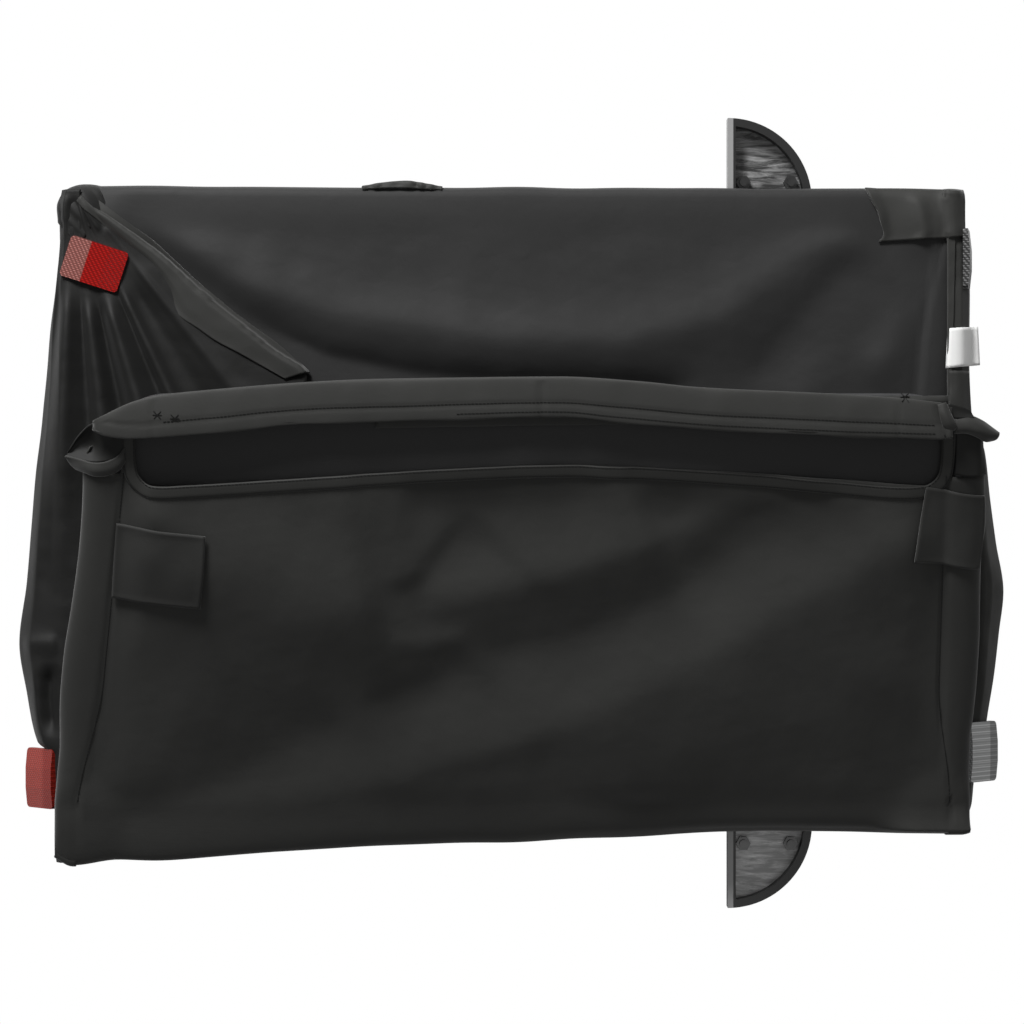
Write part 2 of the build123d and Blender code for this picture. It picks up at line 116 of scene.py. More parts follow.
# %% Woven polyester
stripe = 0.314  # metres that one stripe of a Wave texture of scale 1 takes


def woven(name, grey, thread=0.0007, sheen=0.2, wrinkle=0.35, warm=1.03):
    """Plain-woven coated polyester of this grey."""
    material, tree, shader, add = new_material(name)
    flat = add("ShaderNodeUVMap", uv_map="Flat")
    warp = add("ShaderNodeTexWave", wave_type="BANDS", bands_direction="X", Scale=stripe / thread)
    weft = add("ShaderNodeTexWave", wave_type="BANDS", bands_direction="Y", Scale=stripe / thread)
    for wave in (warp, weft):
        tree.links.new(flat.outputs["UV"], wave.inputs["Vector"])
    weave = add("ShaderNodeMath", operation="MULTIPLY")
    tree.links.new(warp.outputs["Fac"], weave.inputs[0])
    tree.links.new(weft.outputs["Fac"], weave.inputs[1])
    where = add("ShaderNodeTexCoord")
    slow = add("ShaderNodeTexNoise", Scale=9.0, Detail=3.0, Roughness=0.55)
    tree.links.new(where.outputs["Object"], slow.inputs["Vector"])
    tones = two_tones(add, tree, slow.outputs["Fac"], rgb(grey * 0.93, warm), rgb(grey * 1.08, warm))
    threads = add("ShaderNodeMix", data_type="RGBA", blend_type="MULTIPLY")
    threads.inputs["Factor"].default_value = 0.22
    tree.links.new(tones.outputs["Color"], threads.inputs["A"])
    tree.links.new(weave.outputs["Value"], threads.inputs["B"])
    tree.links.new(threads.outputs["Result"], shader.inputs["Base Color"])
    crumple = add("ShaderNodeTexNoise", Scale=55.0, Detail=4.0, Roughness=0.5, Distortion=0.4)
    tree.links.new(where.outputs["Object"], crumple.inputs["Vector"])
    fine = add("ShaderNodeBump", Strength=0.25, Distance=0.0002)
    tree.links.new(weave.outputs["Value"], fine.inputs["Height"])
    soft = add("ShaderNodeBump", Strength=wrinkle, Distance=0.0012)
    tree.links.new(crumple.outputs["Fac"], soft.inputs["Height"])
    tree.links.new(fine.outputs["Normal"], soft.inputs["Normal"])
    tree.links.new(soft.outputs["Normal"], shader.inputs["Normal"])
    shader.inputs["Roughness"].default_value = 0.66
    shader.inputs["Sheen Weight"].default_value = sheen
    shader.inputs["Sheen Roughness"].default_value = 0.45
    shader.inputs["Specular IOR Level"].default_value = 0.3
    return material


wall_cloth = woven("wall_cloth_weave", 0.0275)
# The left wall is the same cloth as the right one, painted darker: painted shade, since it faces the key lamp
# more squarely.
left_painted_shade_cloth = woven("left_wall_painted_shade_weave", 0.0200, warm=1.0)
# The rear cloth, the curtains, the gussets and the corner gathers are the same black cloth painted far
# darker: painted shade, for the shade of the rear folds and of the gaps under the side frames.
painted_shade_cloth = woven("end_cloth_painted_shade_weave", 0.0064, sheen=0.06)
tab_cloth = woven("tab_weave", 0.0205)
front_cloth = woven("front_cloth_weave", 0.034)
flap_cloth = woven("rain_flap_weave", 0.0290, wrinkle=0.25)
# The tape's grey is raised above the wall cloth's as painted light, since the rain flap's lip shades the tape
# from the lamp.
binding_cloth = woven("binding_tape_painted_light_weave", 0.031, thread=0.0011, sheen=0.06, wrinkle=0.1)
# The insides of the sleeves' mouths and of the pocket are the same cloth painted darker: painted shade in the
# hollows. The pocket's rivet takes it too.
hollow_shade_cloth = woven("sleeve_inside_painted_shade_weave", 0.011, sheen=0.0, wrinkle=0.1)
thread_black = woven("black_thread", 0.006, thread=0.0004, sheen=0.0, wrinkle=0.0)
print("cloths made")

# %% [markdown]
# The windows are closed with fine black net. Its holes could be cut into the sheet, but they are under
# a millimetre wide and there would be a great many. Two crossed stripe patterns draw the threads
# instead, and the piece stays a plain sheet.

# %% Mesh of the window
def netting(name, grey):
    """Fine black netting: small square holes between threads."""
    material, tree, shader, add = new_material(name)
    flat = add("ShaderNodeUVMap", uv_map="Flat")
    across = add("ShaderNodeTexWave", wave_type="BANDS", bands_direction="X", Scale=470.0)
    along = add("ShaderNodeTexWave", wave_type="BANDS", bands_direction="Y", Scale=470.0)
    for wave in (across, along):
        tree.links.new(flat.outputs["UV"], wave.inputs["Vector"])
    cell = add("ShaderNodeMath", operation="MAXIMUM")
    tree.links.new(across.outputs["Fac"], cell.inputs[0])
    tree.links.new(along.outputs["Fac"], cell.inputs[1])
    tones = two_tones(add, tree, cell.outputs["Value"], rgb(grey * 0.6), rgb(grey * 1.2), 0.3, 0.9)
    tree.links.new(tones.outputs["Color"], shader.inputs["Base Color"])
    bump = add("ShaderNodeBump", Strength=0.4, Distance=0.0003)
    tree.links.new(cell.outputs["Value"], bump.inputs["Height"])
    tree.links.new(bump.outputs["Normal"], shader.inputs["Normal"])
    shader.inputs["Roughness"].default_value = 0.8
    shader.inputs["Specular IOR Level"].default_value = 0.15
    return material


# The net is black, but its grey is set higher as painted light, since the rain flap shades the window from
# the lamp.
window_net = netting("window_netting_painted_light", 0.044)


# %% [markdown]
# Painted tube, moulded plastic, rubber and zinc are simpler: one colour, a little noise in it, and a
# grain in the bump. The wheel guards have scuffed floors, which we paint with noise stretched along
# the way the dirt was wiped.

# %% Hard finishes
def hard(name, colour, rough, metallic=0.0, grain=400.0, spread=0.12):
    """A hard finish with slight mottling and grain."""
    material, tree, shader, add = new_material(name)
    where = add("ShaderNodeTexCoord")
    slow = add("ShaderNodeTexNoise", Scale=40.0, Detail=4.0, Roughness=0.6)
    fast = add("ShaderNodeTexNoise", Scale=grain, Detail=2.0)
    for noise in (slow, fast):
        tree.links.new(where.outputs["Object"], noise.inputs["Vector"])
    dark = tuple(c * (1 - spread) for c in colour) + (1.0,)
    light = tuple(min(1.0, c * (1 + spread)) for c in colour) + (1.0,)
    tones = two_tones(add, tree, slow.outputs["Fac"], dark, light)
    tree.links.new(tones.outputs["Color"], shader.inputs["Base Color"])
    bump = add("ShaderNodeBump", Strength=0.3, Distance=0.0001)
    tree.links.new(fast.outputs["Fac"], bump.inputs["Height"])
    tree.links.new(bump.outputs["Normal"], shader.inputs["Normal"])
    shader.inputs["Roughness"].default_value = rough
    shader.inputs["Metallic"].default_value = metallic
    return material


powder_coat = hard("frame_powder_coat", (0.018, 0.018, 0.019), 0.42, grain=900.0)
corner_nylon = hard("corner_nylon", (0.016, 0.016, 0.017), 0.55)
foot_rubber = hard("foot_rubber_black", (0.012, 0.012, 0.012), 0.8)
dull_zinc = hard("bolt_black_zinc", (0.07, 0.07, 0.07), 0.3, metallic=0.7, grain=200.0, spread=0.2)
zinc = hard("zinc_plate", (0.50, 0.50, 0.48), 0.32, metallic=1.0, grain=200.0, spread=0.2)


def scuffed(name, low, high, edge_x, floor_z):
    """A guard: grey floor streaked along X up to floor_z, worn grey along the straight side up to
    edge_x, black on the rest of its rim. Measures are in metres."""
    material, tree, shader, add = new_material(name)
    where = add("ShaderNodeTexCoord")
    stretch = add("ShaderNodeMapping")
    stretch.inputs["Scale"].default_value = (28.0, 190.0, 60.0)
    tree.links.new(where.outputs["Object"], stretch.inputs["Vector"])
    streaks = add("ShaderNodeTexNoise", Scale=1.0, Detail=6.0, Roughness=0.7, Distortion=0.6)
    tree.links.new(stretch.outputs["Vector"], streaks.inputs["Vector"])
    tones = two_tones(add, tree, streaks.outputs["Fac"], rgb(low), rgb(high), 0.42, 0.72)
    axes = add("ShaderNodeSeparateXYZ")
    tree.links.new(where.outputs["Object"], axes.inputs["Vector"])
    colour = tones.outputs["Color"]
    for axis, limit, kind, beyond in (
        ("Z", floor_z, "GREATER_THAN", rgb(0.014)), ("X", edge_x, "LESS_THAN", rgb(0.30)),
    ):
        past = add("ShaderNodeMath", operation=kind)
        past.inputs[1].default_value = limit
        tree.links.new(axes.outputs[axis], past.inputs[0])
        mix = add("ShaderNodeMix", data_type="RGBA")
        tree.links.new(past.outputs["Value"], mix.inputs["Factor"])
        tree.links.new(colour, mix.inputs["A"])
        mix.inputs["B"].default_value = beyond
        colour = mix.outputs["Result"]
    tree.links.new(colour, shader.inputs["Base Color"])
    bump = add("ShaderNodeBump", Strength=0.3, Distance=0.0003)
    tree.links.new(streaks.outputs["Fac"], bump.inputs["Height"])
    tree.links.new(bump.outputs["Normal"], shader.inputs["Normal"])
    shader.inputs["Roughness"].default_value = 0.42
    return material


straight_side_x, floor_top_z = 0.2235, 0.0435
guard_left = scuffed("guard_streaked", 0.03, 0.40, straight_side_x, floor_top_z)
# The right guard is grey plastic. Its tones are lifted as painted light, because the trailer's body shades
# this guard from the key lamp.
guard_right = scuffed("guard_grey_painted_light", 0.36, 0.95, straight_side_x, floor_top_z)


# %% [markdown]
# A reflector's lens has rows of small prisms behind a smooth face. Modelled one by one they would
# cost many faces for little, so crossed stripes in the colour and in the bump stand for them. Each
# lens has a second colour over one part of its length. It is painted light: a painted highlight on
# the facet that faces the lamp on three of the lenses, and painted shade that makes it a little
# darker on the fourth.

# %% Prismatic lenses
def lens_plastic(name, plain, painted_light, turn, ends, pitch, hatch, rough=0.12):
    """A moulded lens with fine prisms. turn turns its long side to X, the second colour is a painted
    highlight on the facet between the two ends measured along it (on one lens a painted shade), and
    hatch says how dark the grooves are."""
    material, tree, shader, add = new_material(name)
    where = add("ShaderNodeTexCoord")
    level = add("ShaderNodeMapping")
    level.inputs["Rotation"].default_value = (0.0, 0.0, turn)
    tree.links.new(where.outputs["Object"], level.inputs["Vector"])
    grooves = add("ShaderNodeTexWave", wave_type="BANDS", bands_direction="Y", Scale=stripe / pitch)
    cross = add("ShaderNodeTexWave", wave_type="BANDS", bands_direction="DIAGONAL", Scale=0.25 / pitch)
    for wave in (grooves, cross):
        tree.links.new(level.outputs["Vector"], wave.inputs["Vector"])
    prism = add("ShaderNodeMath", operation="MULTIPLY")
    tree.links.new(grooves.outputs["Fac"], prism.inputs[0])
    tree.links.new(cross.outputs["Fac"], prism.inputs[1])
    axes = add("ShaderNodeSeparateXYZ")
    tree.links.new(level.outputs["Vector"], axes.inputs["Vector"])
    from_end = add("ShaderNodeMapRange")
    from_end.inputs["From Min"].default_value = ends[0]
    from_end.inputs["From Max"].default_value = ends[1]
    tree.links.new(axes.outputs["X"], from_end.inputs["Value"])
    # Painted highlight: between the ends the facet takes the second colour, which stands in for the lamp's
    # light on it.
    shine = add("ShaderNodeMix", data_type="RGBA")
    tree.links.new(from_end.outputs["Result"], shine.inputs["Factor"])
    shine.inputs["A"].default_value = painted_light + (1.0,)
    shine.inputs["B"].default_value = plain + (1.0,)
    dark = add("ShaderNodeMix", data_type="RGBA", blend_type="MULTIPLY")
    dark.inputs["Factor"].default_value = hatch
    tree.links.new(shine.outputs["Result"], dark.inputs["A"])
    tree.links.new(prism.outputs["Value"], dark.inputs["B"])
    tree.links.new(dark.outputs["Result"], shader.inputs["Base Color"])
    bump = add("ShaderNodeBump", Strength=0.5, Distance=0.0004)
    tree.links.new(prism.outputs["Value"], bump.inputs["Height"])
    tree.links.new(bump.outputs["Normal"], shader.inputs["Normal"])
    shader.inputs["Roughness"].default_value = rough
    shader.inputs["Coat Weight"].default_value = 0.15
    shader.inputs["Specular IOR Level"].default_value = 0.3
    return material


red_flat = lens_plastic("lens_red_flat", (0.46, 0.004, 0.001), (0.40, 0.14, 0.12), math.radians(17.5),
                        (-0.4812, -0.4802), 0.0020, 0.65, rough=0.25)
red_tilted = lens_plastic("lens_red_tilted", (0.30, 0.020, 0.012), (0.40, 0.050, 0.036), 0.0,
                          (-0.472, -0.468), 0.0020, 0.45, rough=0.3)
clear_ribbed = lens_plastic("lens_clear_ribbed", (0.42, 0.43, 0.43), (0.80, 0.81, 0.81), 0.0,
                            (0.4795, 0.4805), 0.0022, 0.55)
# On this lens the second colour is darker than the plain one: a painted shade on the facet.
clear_dotted = lens_plastic("lens_clear_dotted", (0.30, 0.30, 0.30), (0.22, 0.22, 0.22), 0.0,
                            (0.45, 0.49), 0.0024, 0.9, rough=0.4)
print("hard finishes made")

# %% [markdown]
# The CAD nodes come with names that start with the kind of piece, so a table from the start of a
# name to its finish covers every hard piece and the floor panel. The other cloth pieces are replaced
# further down.

# %% Finish the frame pieces
finish_of = {
    "side_rail": powder_coat, "cross_rail": powder_coat, "side_hoop": powder_coat,
    "tow_arm": powder_coat, "corner_": corner_nylon, "coupler": corner_nylon,
    "feet": foot_rubber, "hinge_pins": zinc, "guard_bolts": dull_zinc, "tow_pin": zinc,
    "axle_receiver": zinc, "tow_bracket": zinc, "guard_bracket": zinc,
    "wheel_guard_left": guard_left, "wheel_guard_right": guard_right, "floor_panel": wall_cloth,
    "reflector_rear_left": red_flat, "reflector_rear_right": red_tilted,
    "reflector_front_right": clear_ribbed, "reflector_front_left": clear_dotted,
}


def finish(node, material):
    """Put one material on a CAD node."""
    node.data.materials.clear()
    node.data.materials.append(material)


for name, node in nodes.items():
    for start, material in finish_of.items():
        if name.startswith(start):
            finish(node, material)
print("finished", len(finish_of), "kinds of frame piece")

# %% [markdown]
# ## How cloth is made here
# A sheet starts as a flat grid. A place function then says where each point of the flat cut goes,
# and folds are added as crests along lines: high on the line, falling off over a width that may
# differ on its two sides, as real folds lean. A cloth simulation would find folds of its own; here
# each fold has its place, so lines are the surer way. Working on the whole grid at once keeps it fast.

# %% Smooth curves through a few measured points
def smooth(points, free=False):
    """A function of the first coordinate that runs smoothly through points. It doesn't overshoot
    them unless it is free to."""
    xs = np.array([p[0] for p in points], float)
    ys = np.array([p[1] for p in points], float)
    slope = np.gradient(ys, xs)
    if not free:
        steps = np.diff(ys) / np.diff(xs)
        turn = steps[:-1] * steps[1:]
        total = np.where(turn > 0, steps[:-1] + steps[1:], 1.0)
        slope = np.concatenate([steps[:1], np.where(turn > 0, 2 * turn / total, 0.0), steps[-1:]])

    def value(x):
        x = np.clip(x, xs[0], xs[-1])
        i = np.clip(np.searchsorted(xs, x) - 1, 0, len(xs) - 2)
        h = xs[i + 1] - xs[i]
        t = (x - xs[i]) / h
        a, b = ys[i], ys[i + 1]
        c, d = slope[i] * h, slope[i + 1] * h
        return (
            a * (2 * t**3 - 3 * t**2 + 1) + c * (t**3 - 2 * t**2 + t)
            + b * (3 * t**2 - 2 * t**3) + d * (t**3 - t**2)
        )

    return value


def ease(t):
    """0 below 0, 1 above 1 and smooth between."""
    t = np.clip(t, 0, 1)
    return t * t * (3 - 2 * t)


# %% Distance to a line of points
def nearest(x, y, line):
    """How far each point is from line, on which side of its way (1 is left), how far along the
    nearest place is, and how long the line is."""
    best = np.full(np.shape(x), 1e9)
    side = np.zeros(np.shape(x))
    run = np.zeros(np.shape(x))
    done = 0.0
    for (ax, ay), (bx, by) in zip(line[:-1], line[1:]):
        dx, dy = bx - ax, by - ay
        length = math.hypot(dx, dy)
        t = np.clip(((x - ax) * dx + (y - ay) * dy) / length**2, 0, 1)
        px, py = x - ax - t * dx, y - ay - t * dy
        far = np.hypot(px, py)
        nearer = far < best
        best = np.where(nearer, far, best)
        side = np.where(nearer, np.sign(dx * py - dy * px), side)
        run = np.where(nearer, done + t * length, run)
        done += length
    return best, side, run, done


# %% Folds along lines
def crest(x, y, line, height, left, right, fade=40.0):
    """Height at x, y of a fold along line: it falls off over left and right of the line's way,
    and runs out over fade at both ends. A negative height is a valley."""
    far, side, run, length = nearest(x, y, line)
    body = np.exp(-((far / np.where(side > 0, left, right)) ** 1.6))
    return height * body * ease(run / fade + 0.15) * ease((length - run) / fade + 0.15)


def folded(x, y, folds):
    """All of these folds added up."""
    return sum(crest(x, y, *fold) for fold in folds)


# %% Slow waves, the same every time
def waves(x, y, size, height, seed):
    """Gentle uneven waves of about this size."""
    rng = np.random.default_rng(seed)
    total = np.zeros(np.shape(x))
    for _ in range(9):
        angle, phase = rng.uniform(0, 2 * math.pi, 2)
        step = size * rng.uniform(0.6, 1.8)
        total = total + np.sin(2 * math.pi * (x * math.cos(angle) + y * math.sin(angle)) / step + phase)
    return total * height / 3.0


# %% A smooth path through a few points in space
def path_through(points, steps):
    """Steps + 1 points on a smooth path through points, evenly spaced along it."""
    points = np.array(points, float)
    gaps = np.linalg.norm(np.diff(points, axis=0), axis=1)
    at = np.concatenate([[0], np.cumsum(gaps)])
    fine = np.linspace(0, at[-1], steps * 8 + 1)
    curves = [smooth(list(zip(at, column)), free=True) for column in points.T]
    dense = np.stack([curve(fine) for curve in curves], 1)
    run = np.concatenate([[0], np.cumsum(np.linalg.norm(np.diff(dense, axis=0), axis=1))])
    even = np.linspace(0, run[-1], steps + 1)
    return np.stack([np.interp(even, run, column) for column in dense.T], 1)


# %% Curves through rows of control points
def row_of(table, k):
    """From each column of table, the value in that column's row k."""
    return np.take_along_axis(table, k[None], 0)[0]


def curve_at(path, v):
    """Where v, from 0 to 1, lies on the Catmull-Rom curve through path's rows, point by point."""
    last = len(path) - 1
    spot = np.clip(v, 0, 0.99999) * last
    k = np.floor(spot).astype(int)
    t = spot - k
    p0, p1 = row_of(path, np.maximum(k - 1, 0)), row_of(path, k)
    p2, p3 = row_of(path, k + 1), row_of(path, np.minimum(k + 2, last))
    return 0.5 * (2 * p1 + (p2 - p0) * t + (2 * p0 - 5 * p1 + 4 * p2 - p3) * t**2
                  + (3 * p1 - p0 - 3 * p2 + p3) * t**3)


# %% Turn a grid into a sheet of cloth
def sheet_mesh(name, across, along, place, material, thick=1.2, keep=None, outside=1.0):
    """A grid of across by along cells. place takes u and v from 0 to 1 and gives X, Y, Z and the
    flat cut's two coordinates, all in millimetres. keep(u, v) is False for cells that are cut out."""
    bm = bmesh.new()
    bmesh.ops.create_grid(bm, x_segments=across, y_segments=along, size=0.5)
    u = np.array([v.co.x + 0.5 for v in bm.verts])
    v = np.array([v.co.y + 0.5 for v in bm.verts])
    x, y, z, flat_x, flat_y = place(u, v)
    layer = bm.loops.layers.uv.new("Flat")
    bm.verts.index_update()
    for face in bm.faces:
        for loop in face.loops:
            i = loop.vert.index
            loop[layer].uv = (flat_x[i] / 1000, flat_y[i] / 1000)
    for vertex in bm.verts:
        i = vertex.index
        vertex.co = (x[i] / 1000, y[i] / 1000, z[i] / 1000)
    if keep is not None:
        centre = [np.mean([(u[q.index], v[q.index]) for q in f.verts], axis=0) for f in bm.faces]
        gone = [f for f, c in zip(bm.faces, centre) if not keep(c[0], c[1])]
        bmesh.ops.delete(bm, geom=gone, context="FACES")
    mesh = bpy.data.meshes.new(name)
    bm.to_mesh(mesh)
    bm.free()
    mesh.shade_smooth()
    piece = bpy.data.objects.new(name, mesh)
    bpy.context.scene.collection.objects.link(piece)
    mesh.materials.append(material)
    if thick:
        wall = piece.modifiers.new("thickness", "SOLIDIFY")
        wall.thickness = thick / 1000
        wall.offset = -outside
    return piece


# %% [markdown]
# ## The two side walls
# Each wall hangs on a bent tube. The right one lies on top, tilted 19 degrees; the left one lies flat
# below it. Both are drawn in their own plane: x runs forward, s runs from the hinge line up
# to the top rail and n stands out of the cloth. One small class holds what the two walls share, and
# it covers panel, tube and lugs with one height, whose parts melt into each other as taut cloth does.

# %% A side wall's plane, tube and cloth
hinge_y, foot_x, corner_bend = 305.5, 432.0, 55.0


class Side:
    """One folding side, in millimetres: its plane, its tube and the outlines of its cloth."""

    # The grid that holds the folds: its step, its half length and its lowest and highest s.
    step, half_run, low_s, high_s = 2.5, 460, -40, 460
    # How far the cloth stands off the plane over the panel, the tube and the hinge lugs.
    panel_n, tube_n, lug_n = 8.6, 10.8, 13.4
    # Near the window a fold sinks no deeper than this, so that the tape stays on top.
    window_dip = -4.6

    def __init__(self, sign, tilt, hinge_z, top, rear_top, front_top, edges, window, low, folds):
        self.sign, self.tilt, self.hinge_z, self.top = sign, math.radians(tilt), hinge_z, top
        self.rear_top, self.front_top = rear_top, front_top
        self.rear_edge, self.front_edge = edges
        self.window, self.low = window, low
        bend = [(corner_bend * (1 - math.sin(a)), corner_bend * (1 - math.cos(a)))
                for a in np.linspace(math.pi / 2, 0, 6)]
        self.tube = [(-foot_x, 0)]
        self.tube += [(rear_top + dx, top - dy) for dx, dy in bend]
        self.tube += [(front_top - dx, top - dy) for dx, dy in reversed(bend)]
        self.tube += [(foot_x, 0)]
        self.relief = self.soften(folds)

    def soften(self, folds):
        """The folds' heights on a fine grid of the plane, softened as thick cloth softens them."""
        x, s = np.meshgrid(np.arange(-self.half_run, self.half_run + 1, self.step),
                           np.arange(self.low_s, self.high_s + 1, self.step))
        inside = np.minimum(x - self.seam(s, -1), self.seam(s, 1) - x)
        grid = folded(x, s, folds) * ease((inside + 4) / 40) * ease((s - 8) / 40)
        by_window = ease((s - self.low(x) + 44) / 34)
        grid = grid * (1 - by_window) + np.maximum(grid, self.window_dip) * by_window
        cells, softness = 7, 5.6
        near = np.exp(-((np.arange(-cells, cells + 1) * self.step / softness) ** 2) / 2)
        near /= near.sum()
        for _ in range(2):
            padded = np.pad(grid, ((cells, cells), (0, 0)), mode="edge")
            grid = np.apply_along_axis(np.convolve, 0, padded, near, "valid").T
        return grid

    def to_frame(self, x, s, n):
        """A point of the wall's own plane in the frame."""
        c, d = math.cos(self.tilt), math.sin(self.tilt)
        return x, self.sign * (hinge_y - s * c + n * d), self.hinge_z + s * d + n * c

    def post(self, s, end):
        """Where the tube's rear (-1) or front (1) post stands at s."""
        far = self.front_top if end > 0 else self.rear_top
        return end * foot_x + (far - end * foot_x) * s / self.top

    def foot_turn(self, s):
        """How far the seam turns inwards near the post's foot."""
        return 13.0 * ease((48 - s) / 36)

    def seam(self, s, end):
        """The stitched line just inside a post, which closes its sleeve."""
        return self.post(s, end) - end * (13.0 + self.foot_turn(s))

    def stitching(self, s, end):
        """Where the seam's stitches show: on the seam, and over the post near its foot."""
        return self.seam(s, end) + end * (14.0 * ease((150 - s) / 130) + self.foot_turn(s))

    def folds_at(self, x, s):
        """The softened folds' height at x and s."""
        rows, columns = self.relief.shape
        i = np.clip((s - self.low_s) / self.step, 0, rows - 1.001)
        j = np.clip((x + self.half_run) / self.step, 0, columns - 1.001)
        a, b = i.astype(int), j.astype(int)
        t, u = i - a, j - b
        near = self.relief[a, b] * (1 - u) + self.relief[a, b + 1] * u
        far = self.relief[a + 1, b] * (1 - u) + self.relief[a + 1, b + 1] * u
        return near * (1 - t) + far * t

    def height(self, x, s):
        """How far the cloth's outside stands off the plane, over the panel and the tube."""
        inside = np.minimum(x - self.seam(s, -1), self.seam(s, 1) - x)
        ripple = waves(x, s, 110, 0.45, 3) + waves(x, s, 44, 0.2, 4) + waves(x, s, 20, 0.06, 5)
        free = self.panel_n + self.folds_at(x, s) + ripple * ease((inside + 4) / 40) * ease((s - 8) / 40)
        far = nearest(x, s, self.tube)[0]
        lug = self.lug_n * ease((np.abs(x) - 336) / 74) * ease((112 - s) / 98)
        cover = np.maximum(self.tube_n * np.exp(-((far / 10.5) ** 4)), lug)
        return np.logaddexp(free * 1.1, cover * 1.1) / 1.1 - 0.1

    def sleeve(self, x, s, end):
        """The cloth's outside from a post out to the sleeve's outer edge."""
        edge = self.front_edge(s) if end > 0 else self.rear_edge(s)
        post = self.post(s, end)
        reach = np.maximum(np.abs(edge - post), 12.0)
        far = np.clip(np.abs(x - post) / reach, 0, 1)
        square = 2.2 + 4.5 * ease((55 - s) / 40)
        tall = self.tube_n + 2.6 * ease((22 - s) / 16)
        return tall * np.maximum(1 - far**square, 0) ** np.interp(square, [2.2, 6.7], [0.6, 0.35])

    def outside(self, x, s):
        """The cloth's outside over panel and sleeves."""
        n = self.height(x, s)
        n = np.where(x < self.post(s, -1), self.sleeve(x, s, -1), n)
        return np.where(x > self.post(s, 1), self.sleeve(x, s, 1), n)


# %% [markdown]
# The wall is one grid. Its outer columns wrap round the posts as sleeves, the next ones lie on them,
# a stitched seam closes each sleeve, and the rest is the panel. Its lowest rows hang down over the
# side rail as the skirt. The window and what lies past the sleeves' mouths is cut out.

# %% Lay a wall's grid
# Shares of the grid's width where it meets the post, sleeve edge, seam, window, and so on back.
wall_stops = np.array([0.0, 0.045, 0.10, 0.125, 0.875, 0.90, 0.955, 1.0])
# Shares of its height at the skirt's top and at the window's lower and upper edges.
skirt_top, window_low, window_high = 0.12, 0.88, 0.955
# s at the skirt's end and where the skirt bends off the panel.
skirt_end, skirt_bend = -40, 20


def wall_place(side, skirt):
    """Place function of a wall: sleeve, seam, panel, seam, sleeve across; skirt and panel up."""

    def place(u, v):
        mid_x = (u - 0.5) * 900
        low = side.low(mid_x)
        s = np.where(
            v < skirt_top, skirt_end + v / skirt_top * (skirt_bend - skirt_end),
            skirt_bend + (v - skirt_top) / (window_low - skirt_top) * (low - skirt_bend),
        )
        by_top = (v - window_low) / (1 - window_low)
        s = np.where(v > window_low, low + by_top * (side.top + 9 - low), s)
        back, front = side.rear_edge(s), side.front_edge(s)
        back_seam, front_seam = side.seam(s, -1), side.seam(s, 1)
        spot = np.interp(u, wall_stops, np.arange(8.0))
        k = np.floor(np.clip(spot, 0, 6.999)).astype(int)
        marks = np.stack([
            side.post(s, -1), back, back_seam, np.maximum(side.window[0], back_seam + 2),
            np.minimum(side.window[1], front_seam - 2), front_seam, front, side.post(s, 1),
        ])
        lower, upper = row_of(marks, k), row_of(marks, k + 1)
        part = spot - k
        rear_curl, front_curl = u < wall_stops[1], u > wall_stops[6]
        part = np.where(rear_curl, 1 - (1 - part) ** 2, part)
        part = np.where(front_curl, part**2, part)
        part = np.where(k == 1, part**1.6, part)
        part = np.where(k == 5, 1 - (1 - part) ** 1.6, part)
        x = lower * (1 - part) + upper * part
        n = side.outside(x, s)
        n = np.where(rear_curl, -side.sleeve(x, s, -1), n)
        n = np.where(front_curl, -side.sleeve(x, s, 1), n)
        dip = sum(np.exp(-(((x - side.stitching(s, end)) / 2.6) ** 2)) for end in (-1, 1))
        n = n - 1.3 * dip * (u > wall_stops[1]) * (u < wall_stops[6]) * ease((s + 30) / 40)
        flat_x = x + np.where(rear_curl, 2 * (back - x), 0) + np.where(front_curl, 2 * (front - x), 0)
        px, py, pz = side.to_frame(x, s, n)
        px, py, pz = skirt(x, s, n, px, py, pz, v < skirt_top)
        return px, py, pz, flat_x, s

    return place


def skirt_of(side, edge, edge_z, under_z, over_lugs=0.0):
    """Below skirt_bend the cloth runs on over the side rail, turns down and ends under it.

    At the front corner it is raised by over_lugs, where the hinge lugs stand under it.
    """

    def skirt(x, s, n, px, py, pz, hang):
        t = np.clip((skirt_bend - s) / (skirt_bend - skirt_end), 0, 1)
        _, start_y, start_z = side.to_frame(x, np.full_like(s, skirt_bend), n)
        out, lean, drop = side.sign, math.cos(side.tilt) * 14, math.sin(side.tilt) * 14
        rim_y = edge(x) + out * waves(x, 0 * x, 120, 0.5, 8)
        rim_z = edge_z(x)
        knee = over_lugs * ease((x - 350) / 56)
        over_y, over_z = start_y + out * lean, start_z - drop
        y_path = np.stack([start_y - out * lean, start_y, over_y, (over_y + rim_y) / 2, rim_y - out * 4,
                           rim_y, rim_y - out * 0.5, rim_y - out * 4])
        z_path = np.stack([start_z + drop, start_z, over_z + 0.2 * knee,
                           (over_z + rim_z) / 2 + 1.5 + 0.65 * knee, rim_z + 2.0 + knee,
                           rim_z - 5, (rim_z + under_z) / 2, 0 * x + under_z])
        spot = 1 / 7 + t * 6 / 7
        y, z = curve_at(y_path, spot), curve_at(z_path, spot)
        return px, np.where(hang, y, py), np.where(hang, z, pz)

    return skirt


